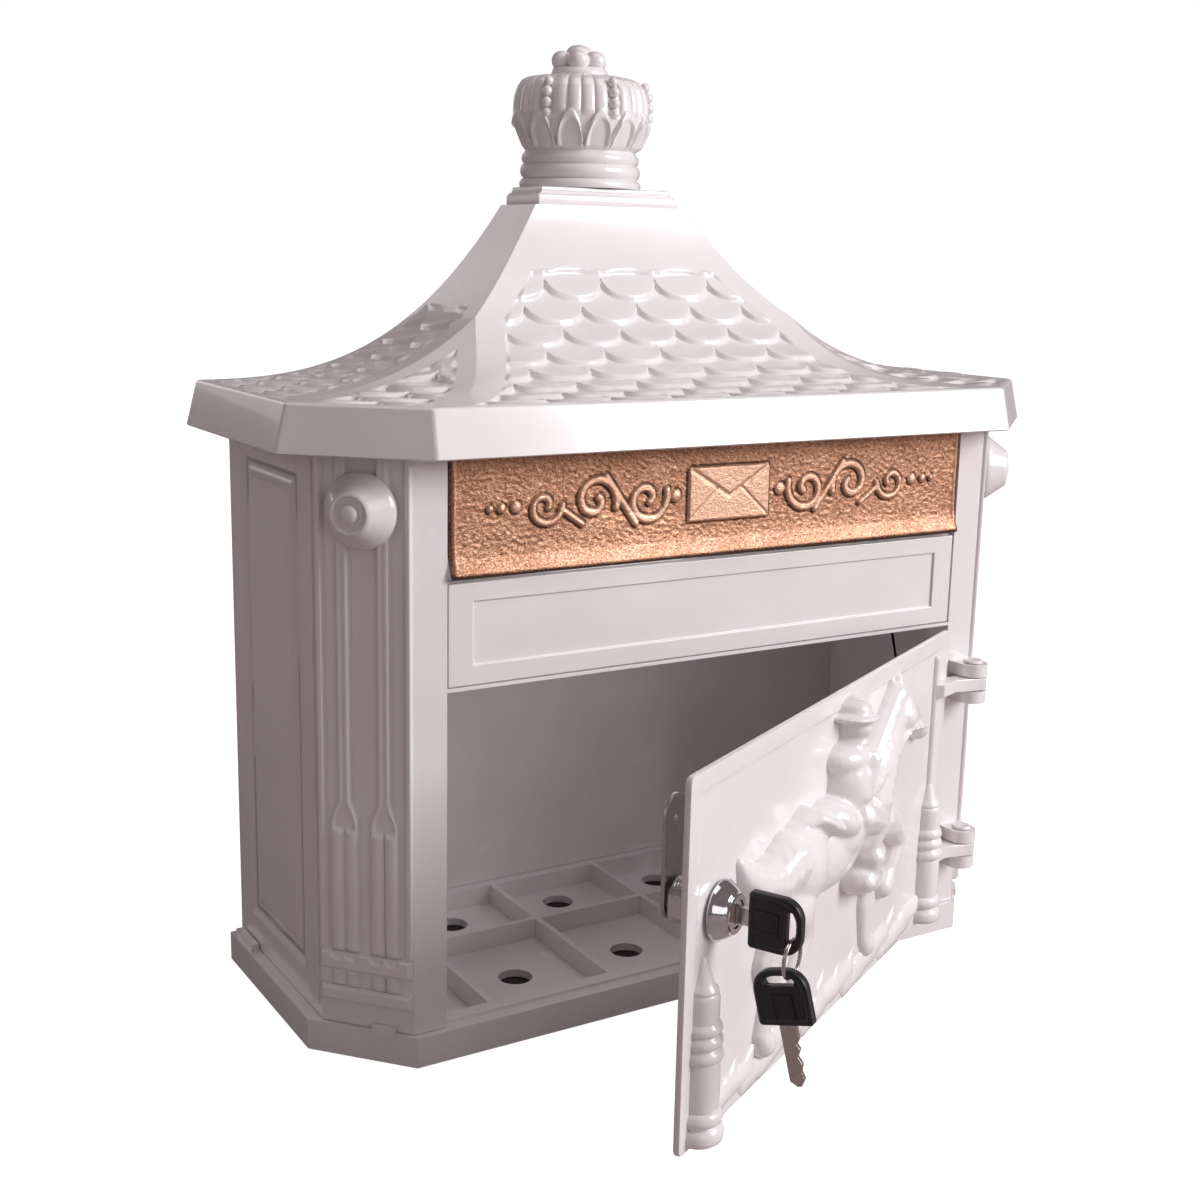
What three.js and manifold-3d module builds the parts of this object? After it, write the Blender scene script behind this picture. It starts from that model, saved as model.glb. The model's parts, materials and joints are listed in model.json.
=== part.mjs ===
// Wall mounted mailbox in cast aluminium: a half octagonal cabinet under a pagoda roof, with a
// letter flap, a side hinged door that stands ajar, and a cam lock with its two keys.
// Millimetres. +X runs to the right of a person facing the front, the front faces -Y, +Z is up.
// Everything is drawn with the wall plane at y = 0 and the underside of the tray at z = 0, and the
// finished group is lowered so that the origin is the middle of the back plate's wall face.
import * as THREE from "three";
import { mergeVertices } from "three/addons/utils/BufferGeometryUtils.js";
import Module from "manifold-3d";

const wasm = await Module();
wasm.setup();

// ---- Driving dimensions ------------------------------------------------------------------
const gap = 0.3; // clearance between pieces that touch in the real assembly
const originHeight = 145; // height of the wall mount's centre above the tray's underside

// Half octagon plans: half width, depth of the straight side, half width of the front, depth.
const cabinetPlan = { half: 189.5, side: 110.5, front: 160, depth: 144.5 };
const trayPlan = { half: 195.7, side: 107.2, front: 160, depth: 147.6 };
const cellPlan = { half: 172, side: 100, front: 148, depth: 134 };
const eavePlan = { half: 209.9, side: 118.5, front: 157.9, depth: 163.8 };

const wall = 3.2; // thickness of the castings
const trayHeight = 14.5;
const cabinetBottom = trayHeight + gap;
const cabinetTop = 285.7;
const sheet = 2; // thickness of the back plate
const sideSeam = 98.5; // depth at which a side panel meets the front casting

// Heights on the front, from the tray up.
const doorBottom = 15.2;
const doorTop = 169.2;
const lintelBottom = 170;
const panelBottom = 172;
const panelTop = 217.4;
const slotBottom = 218;
const slotTop = 274.5; // the eave hangs in front of the slot's top edge
const openingHalf = 144.2; // half width of the door opening and of the letter slot
const jambDepth = 14;

// Tray: shallow cells between ribs, each with a drain hole. The ribs sit off the cabinet's middle.
const ribPitch = 65;
const ribShift = 15;
const ribWidth = 3;
const rowRib = -58;
const cellFloor = 4;
const drainRadius = 8.5;

// Door and its hinges.
const doorHalf = 143.4;
const doorThickness = 3;
const doorOpen = THREE.MathUtils.degToRad(27.9);
const hingeX = 154.2;
const hingeY = -154.2;
const hingeTops = { upper: 151, lower: 60.3 };
const knuckle = 7.4; // radius of the hinge knuckles
const pinRadius = 2.5;
const earHeight = 6.4;
const armHeight = 7.6;

// Lock, in the closed door.
const lockX = -116.4;
const lockZ = 108.5;
const barrelRadius = 9.5;
const barrelBack = 19; // length of the barrel behind the door's outer face
const flatHalf = 8.2; // half width across the barrel's two flats, which stop it turning in the door
const bezelRadius = 12.5;
const plugRadius = 5.4;
const camLength = 43.5;
const camHalf = 8.2;
const camScrewRadius = 1.5;
const tailHalf = 3; // the plug ends in a square tail that carries the cam

// Keys, each a steel blade in a moulded bow, on a wire ring.
const keyWidth = 7.2;
const keyThick = 1.9;
const bladeLength = 23;
const bowWidth = 23;
const bowLength = 24;
const bowThick = 4.2;
const slotWidth = 4.6;
const slotLength = 13;
const slotOffset = 4.2; // from the bow's outer end to the slot's middle
const ringRadius = 7.6;
const ringWire = 0.9;
const ringRoom = 0.8; // between the wire's middle and the end of a bow's slot, for the wire's curve
const spareTilt = THREE.MathUtils.degToRad(14.4);
const spareShift = 4.9; // the ring holds the spare key near one end of its slot, so it hangs askew

// Letter flap.
const flapHalf = 143.2;
const knuckleInner = 133;
const flapPinRadius = 1.8;
const flapAxis = { y: -138.6, z: 267 };
const flapFace = -144.6;
const flapBack = -142.2;
const flapTop = 270;

// Roof: an eave skirt, then a concave slope whose half width shrinks evenly while it climbs.
const skirtBottom = 272.7;
const skirtTop = 293.8;
const skirtLean = 5.5;
const roofTop = 378.4;
const roofTopHalf = 44;
const roofTopDepth = 36;
const slopePower = 2.75; // how hollow the slope is
const depthPower = 1.15; // how the depth shrinks against the width
const soffit = cabinetTop + gap;
const roofSteps = 14;

// Finial: lathe radii against height, from the neck up.
const plinthTiers = [
  { half: 40.8, depth: 34.1, bottom: roofTop, top: 384.2 },
  { half: 37.4, depth: 30.9, bottom: 384.2, top: 387.4 },
];
const finialBottom = 387.4 + gap;
const finialTop = 459.8;
const crownScrew = { y: -14, bottom: 358, top: 404 };

// Rosettes, one on each chamfered corner.
const rosetteHeight = 249;
const rosetteRadius = 16.5;
const rosetteOut = 15;

// Screws.
const screwRadius = 2;
const screwHole = screwRadius + gap;
const bossRadius = 5;
const bossLength = 20;
const rearScrewX = 182;
const backScrewHeights = { lower: 60, upper: 240 };

// ---- Colours -----------------------------------------------------------------------------
const white = { color: 0xebe6e6, roughness: 0.25, metalness: 0.0 };
const copper = { color: 0xb98358, roughness: 0.45, metalness: 0.7 };
const chrome = { color: 0xc8c8ca, roughness: 0.15, metalness: 1.0 };
const steel = { color: 0x9a9a9c, roughness: 0.35, metalness: 1.0 };
const black = { color: 0x141318, roughness: 0.5, metalness: 0.0 };

// ---- Solids ------------------------------------------------------------------------------
function solid(geometry) {
  const plain = new THREE.BufferGeometry();
  plain.setAttribute("position", geometry.getAttribute("position"));
  if (geometry.index) plain.setIndex(geometry.index);
  const merged = mergeVertices(plain, 1e-4);
  return new wasm.Manifold(
    new wasm.Mesh({
      numProp: 3,
      vertProperties: merged.attributes.position.array,
      triVerts: new Uint32Array(merged.index.array),
    }),
  );
}

function mesh(name, shape, look) {
  const data = shape.getMesh();
  const geometry = new THREE.BufferGeometry();
  geometry.setAttribute("position", new THREE.BufferAttribute(data.vertProperties, 3));
  geometry.setIndex(new THREE.BufferAttribute(data.triVerts, 1));
  const made = new THREE.Mesh(geometry, new THREE.MeshStandardMaterial(look));
  made.name = name;
  return made;
}

const joined = (...shapes) => shapes.reduce((a, b) => a.add(b));
const cut = (shape, ...tools) => tools.reduce((a, b) => a.subtract(b), shape);

// A box between two opposite corners.
function block(low, high) {
  const size = high.map((v, i) => v - low[i]);
  const box = new THREE.BoxGeometry(...size);
  box.translate(...low.map((v, i) => v + size[i] / 2));
  return solid(box);
}

// A round bar or cone between two points.
function bar(from, to, radius, endRadius = radius, sides = 16) {
  const a = new THREE.Vector3(...from);
  const b = new THREE.Vector3(...to);
  const along = b.clone().sub(a);
  const shape = new THREE.CylinderGeometry(endRadius, radius, along.length(), sides);
  const turn = new THREE.Quaternion();
  turn.setFromUnitVectors(new THREE.Vector3(0, 1, 0), along.clone().normalize());
  shape.applyQuaternion(turn);
  shape.translate(...a.add(b).multiplyScalar(0.5).toArray());
  return solid(shape);
}

// A ball stretched along the three axes.
function ellipsoid(centre, radii, across = 10, up = 6) {
  const ball = new THREE.SphereGeometry(1, across, up);
  ball.scale(...radii);
  ball.translate(...centre);
  return solid(ball);
}

// An outline in x and y raised from one height to another.
function prism(points, bottom, top) {
  const shape = new THREE.Shape(points);
  const made = new THREE.ExtrudeGeometry(shape, { depth: top - bottom, bevelEnabled: false });
  made.translate(0, 0, bottom);
  return solid(made);
}

// An outline in y and z drawn out along x.
function rail(points, left, right) {
  const shape = new THREE.Shape(points.map(([y, z]) => new THREE.Vector2(y, z)));
  const made = new THREE.ExtrudeGeometry(shape, { depth: right - left, bevelEnabled: false });
  made.applyMatrix4(
    new THREE.Matrix4().makeBasis(
      new THREE.Vector3(0, 1, 0),
      new THREE.Vector3(0, 0, 1),
      new THREE.Vector3(1, 0, 0),
    ),
  );
  made.translate(left, 0, 0);
  return solid(made);
}

// Rings of equal length, lowest first, each counter-clockwise seen from above, closed into a solid.
function loft(rings) {
  const count = rings[0].length;
  const positions = rings.flat().flatMap((p) => p.toArray());
  const index = [];
  for (let level = 0; level + 1 < rings.length; level++) {
    for (let i = 0; i < count; i++) {
      const a = level * count + i;
      const b = level * count + ((i + 1) % count);
      index.push(a, b, a + count, b, b + count, a + count);
    }
  }
  const last = (rings.length - 1) * count;
  for (let i = 1; i + 1 < count; i++) {
    index.push(0, i + 1, i, last, last + i, last + i + 1);
  }
  const made = new THREE.BufferGeometry();
  made.setAttribute("position", new THREE.Float32BufferAttribute(positions, 3));
  made.setIndex(index);
  return solid(made);
}

// ---- Plans -------------------------------------------------------------------------------
// The corners of a half octagon, moved inwards by an inset, with its open side on the wall.
function corners(plan, inset = 0, back = 0) {
  const across = plan.half - plan.front;
  const along = plan.depth - plan.side;
  const length = Math.hypot(across, along);
  const nx = along / length;
  const ny = across / length;
  const reach = nx * plan.half + ny * plan.side - inset;
  const half = plan.half - inset;
  const depth = plan.depth - inset;
  const side = (reach - nx * half) / ny;
  const front = (reach - ny * depth) / nx;
  return [
    new THREE.Vector2(-half, back),
    new THREE.Vector2(-half, -side),
    new THREE.Vector2(-front, -depth),
    new THREE.Vector2(front, -depth),
    new THREE.Vector2(half, -side),
    new THREE.Vector2(half, back),
  ];
}

const ring = (points, z) => points.map((p) => new THREE.Vector3(p.x, p.y, z));

// The chamfer's mid line, its outward normal and its run towards the front, on one side.
function chamfer(sign) {
  const across = cabinetPlan.half - cabinetPlan.front;
  const along = cabinetPlan.depth - cabinetPlan.side;
  const length = Math.hypot(across, along);
  return {
    x: (sign * (cabinetPlan.half + cabinetPlan.front)) / 2,
    y: -(cabinetPlan.side + cabinetPlan.depth) / 2,
    nx: (sign * along) / length,
    ny: -across / length,
    length,
  };
}

// A box that lies on a chamfer: its run along the chamfer, positive towards the front, its depth
// outwards and its heights.
function onChamfer(sign, run, out, bottom, top) {
  const face = chamfer(sign);
  const box = new THREE.BoxGeometry(run[1] - run[0], out[1] - out[0], top - bottom);
  box.translate((sign * (run[0] + run[1])) / 2, (out[0] + out[1]) / 2, (bottom + top) / 2);
  box.rotateZ(Math.atan2(-face.nx, face.ny));
  box.translate(face.x, face.y, 0);
  return solid(box);
}

const mirrored = (build) => joined(build(-1), build(1));

// A box on one side of the middle, given by its distances from the middle.
function twoSided(sign, [inner, outer], [front, rear], [bottom, top]) {
  const [low, high] = [sign * inner, sign * outer].sort((a, b) => a - b);
  return block([low, front, bottom], [high, rear, top]);
}

// ---- Screw positions ---------------------------------------------------------------------
function cornerPosts() {
  const posts = [];
  for (const [side, sign] of [["left", -1], ["right", 1]]) {
    const face = chamfer(sign);
    posts.push({ name: `front_${side}`, x: face.x - 7.6 * face.nx, y: face.y - 7.6 * face.ny });
    posts.push({ name: `rear_${side}`, x: sign * rearScrewX, y: -8.5 });
  }
  return posts;
}

const posts = cornerPosts();
const hole = (from, to) => bar(from, to, screwHole, screwHole, 8);

// Bosses at the bottom and the top of a casting, bored for the screws of the tray and the roof.
function withBosses(casting, row) {
  const spots = posts.filter((post) => post.name.startsWith(row.where) && row.test(post));
  let made = casting;
  for (const { x, y } of spots) {
    made = joined(
      made,
      bar([x, y, cabinetBottom + gap], [x, y, cabinetBottom + bossLength], bossRadius),
      bar([x, y, cabinetTop - bossLength], [x, y, cabinetTop - gap], bossRadius),
    );
    made = cut(
      made,
      hole([x, y, cabinetBottom - 1], [x, y, cabinetBottom + bossLength - 3]),
      hole([x, y, cabinetTop - bossLength - 1], [x, y, cabinetTop + 1]),
    );
  }
  return made;
}

// ---- Cabinet -----------------------------------------------------------------------------
function baseTray() {
  const zone = prism(corners(cellPlan, 0, -8), cellFloor, trayHeight + 1);
  const columns = [-3, -2, -1, 0, 1, 2].map((i) => ribShift + (i + 0.5) * ribPitch);
  const rows = [
    { near: -8, far: rowRib + ribWidth / 2, hole: -24 },
    { near: rowRib - ribWidth / 2, far: -140, hole: -95 },
  ];
  let made = prism(corners(trayPlan), 0, trayHeight);
  for (const x of columns) {
    for (const row of rows) {
      const half = (ribPitch - ribWidth) / 2;
      const low = Math.min(row.near, row.far);
      const high = Math.max(row.near, row.far);
      const cell = block([x - half, low, cellFloor], [x + half, high, trayHeight + 1]);
      made = cut(made, zone.intersect(cell));
      if (Math.abs(x) < 150) {
        made = cut(made, bar([x, row.hole, -1], [x, row.hole, cellFloor + 2], drainRadius));
      }
    }
  }
  const lip = block([-openingHalf + 0.6, -141, 0], [openingHalf - 0.6, -134, 16]);
  const sideLugs = mirrored((sign) =>
    twoSided(sign, [190.2, 194], [-27, -4], [trayHeight - 1, trayHeight + 3]),
  );
  const cornerLugs = mirrored((sign) =>
    onChamfer(sign, [3, 14], [0.5, 3], trayHeight - 1, trayHeight + 3),
  );
  made = joined(made, lip, sideLugs, cornerLugs);
  for (const { x, y } of posts) {
    made = cut(
      made,
      hole([x, y, -1], [x, y, trayHeight + 1]),
      bar([x, y, -1], [x, y, 3.2], 4.4),
    );
  }
  return made;
}

function sidePanel(sign) {
  const outside = cabinetPlan.half;
  const inside = outside - wall;
  const rear = sheet + gap;
  let made = twoSided(sign, [inside, outside], [gap - sideSeam, -rear], [cabinetBottom, cabinetTop]);
  made = cut(made, twoSided(sign, [outside - 1.5, outside + 1], [-90, -16], [30, 264]));
  made = joined(made, twoSided(sign, [inside, outside - 0.4], [-78, -28], [44, 250]));
  made = withBosses(made, { where: "rear", test: (post) => post.x * sign > 0 });
  for (const z of Object.values(backScrewHeights)) {
    const x = sign * rearScrewX;
    made = joined(made, bar([x, -rear, z], [x, -14, z], bossRadius));
    made = cut(made, hole([x, 0, z], [x, -11, z]));
  }
  return made;
}

const wallHoles = [-120, 120].flatMap((x) => [55, 230].map((z) => ({ x, z })));
const wallHoleRadius = 3.5;

function backPlate() {
  let made = block([-cabinetPlan.half, -sheet, cabinetBottom], [cabinetPlan.half, 0, cabinetTop]);
  for (const { x, z } of wallHoles) {
    made = cut(made, bar([x, 1, z], [x, -sheet - 1, z], wallHoleRadius));
  }
  for (const x of [-rearScrewX, rearScrewX]) {
    for (const z of Object.values(backScrewHeights)) {
      made = cut(made, bar([x, 0.01, z], [x, -sheet - 0.01, z], 4.4, screwHole, 12));
    }
  }
  return made;
}

function flapPinHole(sign, inner, outer) {
  const { y, z } = flapAxis;
  return bar([sign * inner, y, z], [sign * outer, y, z], flapPinRadius + gap, undefined, 12);
}

// Front and both chamfered corners in one casting, with the jambs, the lintel, the backing web of
// the name panel, the corner pilasters and the ears of the hinges.
function frontCasting() {
  const bottom = cabinetBottom;
  const shell = cut(
    prism(corners(cabinetPlan), bottom, cabinetTop),
    prism(corners(cabinetPlan, wall, 5), bottom - 1, cabinetTop + 1),
    block([-200, -sideSeam, bottom - 1], [200, 1, cabinetTop + 1]),
  );
  const opening = (low, high, deep = 20) =>
    block([-openingHalf, -cabinetPlan.depth - 1, low], [openingHalf, -cabinetPlan.depth + deep, high]);
  let made = cut(
    shell,
    opening(bottom - 1, lintelBottom),
    opening(slotBottom, slotTop),
    opening(panelBottom - 0.4, slotBottom + 1, 3.2),
  );
  const front = -cabinetPlan.depth;
  made = joined(
    made,
    block([-openingHalf - 1, front + 3, lintelBottom], [openingHalf + 1, front + 6, slotBottom]),
    mirrored((sign) =>
      twoSided(sign, [openingHalf, openingHalf + wall], [front, front + jambDepth], [bottom + gap, cabinetTop - 1]),
    ),
    mirrored(pilaster),
    mirrored((sign) => twoSided(sign, [188, 190.6], [-107.4, -sideSeam], [bottom + 6, cabinetTop - 2])),
    ears(hingeTops.upper),
    ears(hingeTops.lower),
  );
  made = withBosses(made, { where: "front", test: () => true });
  for (const sign of [-1, 1]) {
    made = cut(
      made,
      hole(alongChamfer(sign, 3, rosetteHeight), alongChamfer(sign, -6, rosetteHeight)),
      flapPinHole(sign, 140, 152),
    );
    const screw = panelScrew(sign);
    made = cut(made, hole([screw.x, front, screw.z], [screw.x, front + 8, screw.z]));
  }
  for (const top of Object.values(hingeTops)) {
    const low = top - 2 * earHeight - armHeight - 2;
    made = cut(made, bar([hingeX, hingeY, low], [hingeX, hingeY, top + 2], pinRadius + 0.1));
  }
  return made;
}

const pilasterStrips = [-9.9, 9.2]; // mid lines of the strips along a chamfer

// Ledges, strips and flutes that stand on a chamfered corner.
function pilaster(sign) {
  const strip = (run, out, low, high) => onChamfer(sign, run, [-1, out], low, high);
  const parts = [
    strip([-21.4, 21.4], 2.4, 41, 50),
    strip([-21.4, 21.4], 2.0, 26, 33.5),
    strip([-22.2, -19.4], 1.2, 50, cabinetTop - 2),
    strip([19.4, 22.2], 1.2, 50, cabinetTop - 2),
  ];
  for (const centre of pilasterStrips) {
    parts.push(strip([centre - 2.8, centre + 2.8], 0.9, 121, cabinetTop - 2));
    for (const side of [-3.45, 3.45]) {
      parts.push(strip([centre + side - 2.9, centre + side + 2.9], 0.9, 49, 111));
    }
  }
  return joined(...parts);
}

const earOutline = (reach) => {
  const shape = new THREE.Shape();
  shape.moveTo(hingeX - knuckle, hingeY);
  shape.absarc(hingeX, hingeY, knuckle, Math.PI, 2 * Math.PI, false);
  shape.lineTo(hingeX + knuckle, -reach);
  shape.lineTo(hingeX - knuckle, -reach);
  return shape.getPoints(10);
};

// Two ears of a hinge, which stand on the front to the right of the opening.
function ears(top) {
  const reach = cabinetPlan.depth - 1;
  const lower = top - earHeight - armHeight;
  const chamferGuard = prism(corners(cabinetPlan, wall), 0, 300);
  const pair = joined(
    prism(earOutline(reach), top - earHeight, top),
    prism(earOutline(reach), lower - earHeight, lower),
  );
  return cut(pair, chamferGuard);
}

const panelScrew = (sign) => ({ x: sign * 120, z: 196 });

function namePanel() {
  const front = -cabinetPlan.depth + 0.2;
  let made = block([-doorHalf, front, panelBottom], [doorHalf, front + 2.7, panelTop]);
  made = cut(made, block([-131.5, front - 1, 181], [131.5, front + 1.1, 209]));
  for (const sign of [-1, 1]) {
    const { x, z } = panelScrew(sign);
    made = cut(made, hole([x, front + 1.6, z], [x, front + 4, z]));
  }
  return made;
}

// ---- Roof and finial ---------------------------------------------------------------------
const eaveHalf = eavePlan.half - skirtLean;
const eaveDepth = eavePlan.depth - skirtLean;
const chamferStart = 92; // half width of the roof where its corner chamfers begin
const chamferDeep = 41;
const chamferRatio = (eavePlan.half - eavePlan.front) / (eavePlan.depth - eavePlan.side);

// The roof's outline at a share of the way from the eave to the top, with its height.
function slopeLevel(share) {
  const half = THREE.MathUtils.lerp(eaveHalf, roofTopHalf, share);
  const depth = roofTopDepth + (eaveDepth - roofTopDepth) * (1 - share) ** depthPower;
  const spread = THREE.MathUtils.clamp((half - chamferStart) / (eaveHalf - chamferStart), 0, 1);
  const chop = Math.max(0.2, chamferDeep * Math.sin((Math.PI / 2) * spread));
  return {
    z: skirtTop + (roofTop - skirtTop) * share ** slopePower,
    plan: { half, side: depth - chop, front: half - chop * chamferRatio, depth },
  };
}

function roofShell() {
  const shares = Array.from({ length: roofSteps + 1 }, (_, i) => i / roofSteps);
  const outer = [ring(corners(eavePlan), skirtBottom)];
  for (const share of shares) {
    const level = slopeLevel(share);
    outer.push(ring(corners(level.plan), level.z));
  }
  const hollow = [ring(corners({ half: 158, side: 84, front: 124, depth: 118 }, 0, -3), soffit - 1)];
  for (const share of shares.slice(4, -1)) {
    const level = slopeLevel(share);
    hollow.push(ring(corners(level.plan, 3.5, -3), level.z - 4.5));
  }
  const skirtSpace = prism(corners(eavePlan, 4.4, 1), skirtBottom - 1, soffit);
  let made = loft(outer);
  for (const tier of plinthTiers) {
    made = joined(made, block([-tier.half, -tier.depth, tier.bottom - 1], [tier.half, 0, tier.top]));
  }
  made = cut(made, loft(hollow), skirtSpace);
  for (const { x, y } of posts) {
    made = cut(made, hole([x, y, soffit - 1], [x, y, soffit + 6]));
  }
  return cut(made, hole([0, crownScrew.y, 350], [0, crownScrew.y, finialBottom + 2]));
}

// The crown is turned, and its flat back lies on the wall.
function finialCrown() {
  const profile = [
    [0, finialBottom],
    [33.4, finialBottom],
    [34, 391.5],
    [31.8, 394.2],
    [33.2, 397.4],
    [31.2, 400.6],
    [32.6, 403.8],
    [31.6, 406.6],
    [36.4, 413],
    [38.6, 419],
    [38.6, 427],
    [36.6, 434],
    [32, 440.2],
    [24, 443],
    [16.6, 443.2],
    [15.4, 446.4],
    [15.6, 450.6],
    [13, 454.4],
    [7.6, 455],
    [6.2, 458.2],
    [0, finialTop],
  ].map(([r, z]) => new THREE.Vector2(r, z));
  const turned = new THREE.LatheGeometry(profile, 28);
  turned.rotateX(Math.PI / 2);
  return cut(
    solid(turned),
    block([-60, 0, finialBottom - 5], [60, 60, finialTop + 5]),
    hole([0, crownScrew.y, finialBottom - 5], [0, crownScrew.y, crownScrew.top + gap]),
  );
}

// ---- Corner rosettes ---------------------------------------------------------------------
// A point on a chamfer's mid line, moved outwards, at a height.
function alongChamfer(sign, out, height) {
  const face = chamfer(sign);
  return [face.x + out * face.nx, face.y + out * face.ny, height];
}

function rosette(sign) {
  const at = (out) => alongChamfer(sign, out, rosetteHeight);
  return cut(
    joined(
      bar(at(1.5 + gap), at(5), rosetteRadius, rosetteRadius, 24),
      bar(at(4.9), at(rosetteOut), rosetteRadius, 8.6, 24),
    ),
    bar(at(rosetteOut - 1.6), at(rosetteOut + 1), 6.4),
    hole(at(1), at(rosetteOut - 1)),
  );
}

function rosetteScrew(sign) {
  const at = (out) => alongChamfer(sign, out, rosetteHeight);
  const seat = rosetteOut - 1.2;
  return screw(at(seat), at(-5), 4, 1.4);
}

// ---- Letter flap -------------------------------------------------------------------------
function letterFlap() {
  const plate = rail(
    [
      [flapFace, flapTop],
      [flapFace, 230],
      [-148.6, 221.4],
      [-147.4, 219.3],
      [-145.6, 220.2],
      [flapBack, 230.6],
      [flapBack, flapTop],
    ],
    -flapHalf,
    flapHalf,
  );
  const { y, z } = flapAxis;
  const knuckles = mirrored((sign) =>
    joined(
      bar([sign * knuckleInner, y, z], [sign * flapHalf, y, z], 3.8),
      twoSided(sign, [knuckleInner, flapHalf], [flapBack - 0.5, y], [z - 2.5, z + 2.5]),
    ),
  );
  const bores = mirrored((sign) => flapPinHole(sign, knuckleInner - 2, flapHalf + 2));
  const relief = flapFace - 1.5;
  const emblem = block([-24, relief, 235], [24, flapFace + 1, 262]);
  const scrolls = mirrored((sign) => twoSided(sign, [28, 92], [relief, flapFace + 1], [238, 259]));
  return cut(joined(plate, knuckles, emblem, scrolls), bores);
}

function flapPin(sign) {
  const { y, z } = flapAxis;
  return joined(
    bar([sign * (knuckleInner + 1), y, z], [sign * 149.4, y, z], flapPinRadius, undefined, 12),
    bar([sign * (openingHalf + wall + gap), y, z], [sign * 149.6, y, z], 2.5, undefined, 12),
  );
}

// ---- Door --------------------------------------------------------------------------------
const doorFace = -144.3;
const doorBack = doorFace + doorThickness;
const lockAt = (y) => [lockX, y, lockZ]; // a point on the lock's axis in the closed door

// A turned post in half relief, with a thin rod above it.
function doorPost(x, rodTop) {
  const profile = [
    [0, 17],
    [10.6, 17],
    [10.8, 24],
    [9, 27],
    [9.8, 30],
    [8.6, 33],
    [8.6, 50],
    [10, 53],
    [8.4, 56],
    [9.6, 60],
    [8.2, 63],
    [9.2, 67],
    [8, 70],
    [7.6, 79],
    [6.4, 81],
    [5.6, 84],
    [0, 93],
  ].map(([r, z]) => new THREE.Vector2(r, z));
  const turned = new THREE.LatheGeometry(profile, 12);
  turned.rotateX(Math.PI / 2);
  turned.translate(x, doorFace + 0.5, 0);
  const rod = bar([x, doorFace, 88], [x, doorFace, rodTop], 2.2, undefined, 8);
  return joined(solid(turned), rod);
}

// Horse and rider in low relief: each mass is x, z and its half sizes along x, z and outwards.
const horse = [
  [-48, 108, 30, 22, 9],
  [-8, 104, 34, 19, 9],
  [34, 108, 26, 21, 9],
  [60, 128, 15, 22, 8],
  [84, 139, 19, 9, 7],
  [-86, 104, 16, 9, 5],
];
const rider = [
  [6, 136, 12, 17, 9],
  [6, 156, 8.5, 8.5, 8.5],
  [18, 116, 11, 16, 10],
];
const legs = [
  [-66, 100, -76, 62, -62, 36],
  [-44, 96, -40, 62, -46, 36],
  [38, 98, 50, 66, 40, 38],
  [50, 100, 74, 74, 66, 48],
];

function doorRelief() {
  const y = doorFace + 1;
  const masses = [...horse, ...rider].map(([x, z, rx, rz, out]) => ellipsoid([x, y, z], [rx, out, rz]));
  const limbs = legs.flatMap(([x0, z0, x1, z1, x2, z2]) => [
    bar([x0, y, z0], [x1, y, z1], 8, 5.6, 8),
    bar([x1, y, z1], [x2, y, z2], 5.4, 4.2, 8),
    ellipsoid([x1, y, z1], [5.8, 5.8, 5.8], 8, 4),
  ]);
  const ground = [-60, 0, 60].map((x) => ellipsoid([x, y, 26], [44, 4, 10]));
  return joined(...masses, ...limbs, ...ground);
}

function doorArm(top) {
  const high = top - earHeight - 0.5;
  const low = high - armHeight + 1;
  const shape = new THREE.Shape();
  shape.moveTo(124, doorFace + 0.5);
  shape.lineTo(126, doorFace - 5);
  shape.lineTo(140, -151);
  shape.lineTo(hingeX - 2, hingeY - knuckle);
  shape.absarc(hingeX, hingeY, knuckle, 1.5 * Math.PI, 2.5 * Math.PI, false);
  shape.lineTo(hingeX - 4, hingeY + knuckle);
  shape.lineTo(144, doorFace - 0.6);
  shape.lineTo(143, doorFace + 0.5);
  return prism(shape.getPoints(8), low, high);
}

function doorPanel() {
  const plate = block([-doorHalf, doorFace, doorBottom], [doorHalf, doorBack, doorTop]);
  const behind = block([-200, doorBack - 0.5, 0], [150, -100, 200]);
  const outside = cut(
    joined(doorRelief(), doorPost(-doorHalf + 15.7, 90), doorPost(doorHalf - 17, 159)),
    behind,
  );
  let made = joined(plate, outside, doorArm(hingeTops.upper), doorArm(hingeTops.lower));
  for (const top of Object.values(hingeTops)) {
    const low = top - 2 * earHeight - armHeight;
    made = cut(made, bar([hingeX, hingeY, low], [hingeX, hingeY, top], pinRadius + gap));
  }
  const flats = block(
    [lockX - flatHalf, doorFace - 20, lockZ - 12],
    [lockX + flatHalf, doorBack + 20, lockZ + 12],
  );
  const round = bar(lockAt(doorFace - 12), lockAt(doorBack + 2), barrelRadius + gap);
  const seat = bar(lockAt(doorFace - 12), lockAt(doorFace), bezelRadius + 0.7, undefined, 24);
  return cut(made, round.intersect(flats), seat);
}

function hingePin(top) {
  const low = top - 2 * earHeight - armHeight;
  return joined(
    bar([hingeX, hingeY, low], [hingeX, hingeY, top + 0.5], pinRadius),
    bar([hingeX, hingeY, top + gap], [hingeX, hingeY, top + 1.8], 5.2, 4.6),
  );
}

// ---- Lock and keys, drawn in the closed door with the lock's axis along -Y -----------------
const bezelFront = doorFace - 8;
const barrelEnd = doorFace + barrelBack;

function lockBarrel() {
  const flats = block(
    [lockX - flatHalf + gap, doorFace - 1, lockZ - 12],
    [lockX + flatHalf - gap, barrelEnd, lockZ + 12],
  );
  const body = bar(lockAt(doorFace - 1), lockAt(barrelEnd), barrelRadius, undefined, 24);
  const bezel = bar(lockAt(doorFace - gap), lockAt(bezelFront), bezelRadius, 8.2, 24);
  return cut(
    joined(body.intersect(flats), bezel),
    bar(lockAt(bezelFront - 1), lockAt(barrelEnd + 1), plugRadius + gap),
  );
}

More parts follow.
